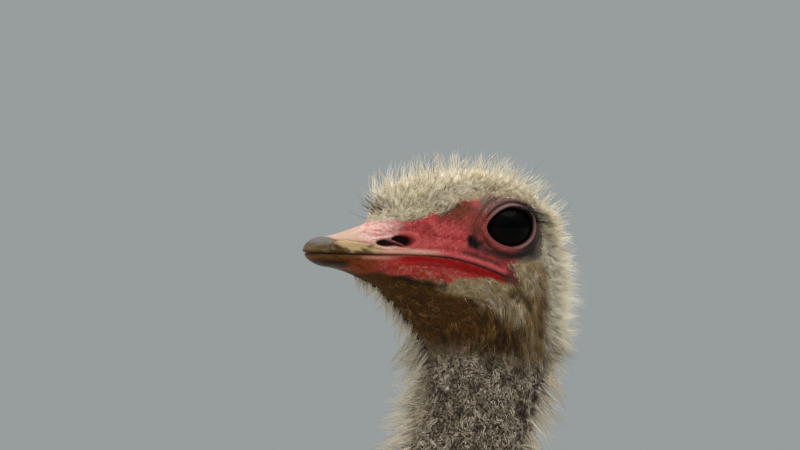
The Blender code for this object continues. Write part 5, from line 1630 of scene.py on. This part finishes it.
def make_leg(side, sign, finish, horn):
    """A leg's one skin from the thigh to the toes, with plates down the shin and over the toes, and its
    claws."""
    foot_ahead, foot_up = FOOT_AHEAD[side], 50
    foot, hock = (foot_ahead, foot_up, FOOT_OUT), (foot_ahead - HOCK_BEHIND_FOOT, HOCK_UP, FOOT_OUT)
    tubes = [
        limb_tube(KNEE[side], hock, UPPER_LEG, sign),
        limb_tube(hock, foot, LOWER_LEG, sign),
        toe_tube(BIG_TOE, foot_ahead, sign, 0, 0),
        toe_tube(OUTER_TOE, foot_ahead, sign, OUTER_TOE_OUT, OUTER_TOE_SPLAY),
    ]
    leg, points, normal = one_skin("leg_" + side, tubes, 3.8, 6)
    x, ahead, up = points.T
    forward, out = ahead - foot_ahead, sign * x - FOOT_OUT
    shank_middle = -HOCK_BEHIND_FOOT * (up - foot_up) / (HOCK_UP - foot_up)
    facing = smoothstep(0.1, 0.6, normal[:, 1]) * smoothstep(-8, 4, forward - shank_middle)
    shin = smoothstep(545, 500, up) * smoothstep(62, 92, up) * facing
    shin_plate = (up + 0.12 * np.abs(out) ** 1.3) / SHIN_PLATE
    cos, sin, aside = math.cos(OUTER_TOE_SPLAY), math.sin(OUTER_TOE_SPLAY), out - OUTER_TOE_OUT
    on_outer = out > 22  # past the big toe's own side
    reach = np.where(on_outer & (forward * sin - aside * cos < 2), forward * cos + aside * sin, forward)
    toe_plate = -reach / np.where(on_outer, OUTER_TOE_PLATE, BIG_TOE_PLATE)
    on_toe = smoothstep(100, 80, up) * smoothstep(0.25, 0.7, normal[:, 2]) * smoothstep(-10, 12, forward)
    wrinkle = np.sin(up / 4.0 + 2 * np.sin(x / 15.0) + 1.5 * np.sin(ahead / 21.0)) * smoothstep(480, 560, up)
    hock_fold = np.sin(up / 3.6) * hump(up, HOCK_UP, 32) * smoothstep(0.1, -0.4, normal[:, 1])
    by = 1.1 * shin * plates(shin_plate) + 1.2 * on_toe * plates(toe_plate) + 0.5 * wrinkle + 0.8 * hock_fold
    points = points + normal * by[:, None]
    points[:, 2] = np.maximum(points[:, 2], 0.0)
    leg.data.vertices.foreach_set("co", to_frame(points).astype(np.float32).ravel())
    keep_values(leg.data, {
        "shank": smoothstep(560, 500, up),
        "shin": np.maximum(shin, on_toe),
        "plate": 60 + np.where(on_toe > shin, toe_plate, shin_plate),
        "sole": smoothstep(-0.2, -0.6, normal[:, 2]) * smoothstep(30, 14, up),
    })
    leg.data.materials.clear()
    leg.data.materials.append(finish)
    leg.data.polygons.foreach_set("use_smooth", np.ones(len(leg.data.polygons), bool))
    leg.data.update()
    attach(leg, "root")
    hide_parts("upper_leg_" + side, "lower_leg_" + side, "big_toe_" + side, "outer_toe_" + side)
    for toe, base, scale, out_by, splay in (
        ("big", BIG_TOE[-2][0], 1.0, 0, 0.0),
        ("outer", OUTER_TOE[-2][0], SMALL_CLAW_SCALE, OUTER_TOE_OUT, OUTER_TOE_SPLAY),
    ):
        flat, faces = closed_tube(claw_points(base, scale, foot_ahead, sign, out_by, splay))
        claw = mesh_piece(toe + "_nail_" + side, flat, faces, horn)
        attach(claw, "root")
        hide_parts(toe + "_claw_" + side)


# ---------------------------------------------------------------- the studio


def make_studio():
    """A pale floor, a plain pale surround and soft light from above and behind, with the camera level with
    the head, ahead of it and to its left."""
    floor_radius, camera_turn, camera_away = 50.0, math.radians(55), 4.0
    turn = 2 * math.pi * np.arange(96) / 96
    rim = np.stack([floor_radius * np.cos(turn), floor_radius * np.sin(turn), np.zeros_like(turn)], axis=1)
    mesh = bpy.data.meshes.new("floor")
    mesh.from_pydata(rim.tolist(), [], [list(range(len(turn)))])
    floor = bpy.data.objects.new("floor", mesh)
    bpy.context.scene.collection.objects.link(floor)
    made, tree, shader = new_material("pale_studio_floor", Roughness=0.8)
    tone = painted(tree, "#acaca8", [(object_noise(tree, 900.0), "#b4b4b0")])
    tree.links.new(tone, shader.inputs["Base Color"])
    mesh.materials.append(made)

    world = bpy.data.worlds.new("studio")
    world.use_nodes = True
    tree = world.node_tree
    rise = add(tree, "SeparateXYZ", [add(tree, "TexCoord", out="Generated")], out="Z")
    sky = painted(tree, "#989d9d", [(add(tree, "MapRange", [rise, 0.15, 0.75]), "#eef2f5")])
    tree.links.new(sky, tree.nodes["Background"].inputs["Color"])
    bpy.context.scene.world = world

    toward_camera = Vector((math.sin(camera_turn), -math.cos(camera_turn), 0))
    rightward = Vector((math.cos(camera_turn), math.sin(camera_turn), 0))
    up = Vector((0, 0, 1))
    for name, direction, strength, spread in (
        ("overhead", up * 0.85 + toward_camera * 0.05 + rightward * 0.1, 2.35, 70),
        ("back", up * 0.3 - toward_camera * 0.8 + rightward * 0.45, 1.9, 40),
        ("fill", toward_camera * 0.65 + up * 0.45 - rightward * 0.7, 0.65, 90),
    ):
        light = bpy.data.lights.new(name, "SUN")
        light.energy, light.angle = strength, math.radians(spread)
        lamp = bpy.data.objects.new(name, light)
        lamp.visible_glossy = name == "overhead"  # only this one is mirrored in the eyes
        lamp.rotation_euler = (-direction).to_track_quat("-Z", "Y").to_euler()
        bpy.context.scene.collection.objects.link(lamp)

    bpy.context.scene.view_settings.view_transform = "Standard"
    camera_data = bpy.data.cameras.new("camera")
    camera_data.lens, camera_data.sensor_width, camera_data.clip_end = 272.7, 36.0, 300
    camera = bpy.data.objects.new("camera", camera_data)
    eye_point = Vector((0, HIPS_Y * MM - HEAD_AHEAD * MM, HEAD_UP * MM))
    to_middle = Vector((-0.0053, -0.0612, 0.0013))  # from there to the middle of the view
    camera.location = eye_point + to_middle + toward_camera * camera_away
    camera.rotation_euler = (-toward_camera).to_track_quat("-Z", "Y").to_euler()
    bpy.context.scene.collection.objects.link(camera)
    bpy.context.scene.camera = camera


make_skin()
eye_finish = make_eye_material()
for side, sign in (("left", 1), ("right", -1)):
    make_eye(side, sign, eye_finish)
down_finish = make_down_material()
make_head_down(down_finish)
make_neck_down(down_finish)
make_bristles()
black = plumage_material("black_body_plumage", "#0f0d0b", "#2a241f", "#3a2f25")
white = plumage_material("white_wing_plumage", "#cfc7b6", "#f0ebe0", "#b39d7c", 1.6)
cream = plumage_material("cream_tail_plumage", "#a68a60", "#ded0b4", "#7d5a35", 1.2)
make_body_plumes(black)
make_wings(black, white)
make_tail(cream)
leg_finish, claw_horn = make_leg_material(), make_claw_material()
for side, sign in (("left", 1), ("right", -1)):
    make_leg(side, sign, leg_finish, claw_horn)
make_studio()
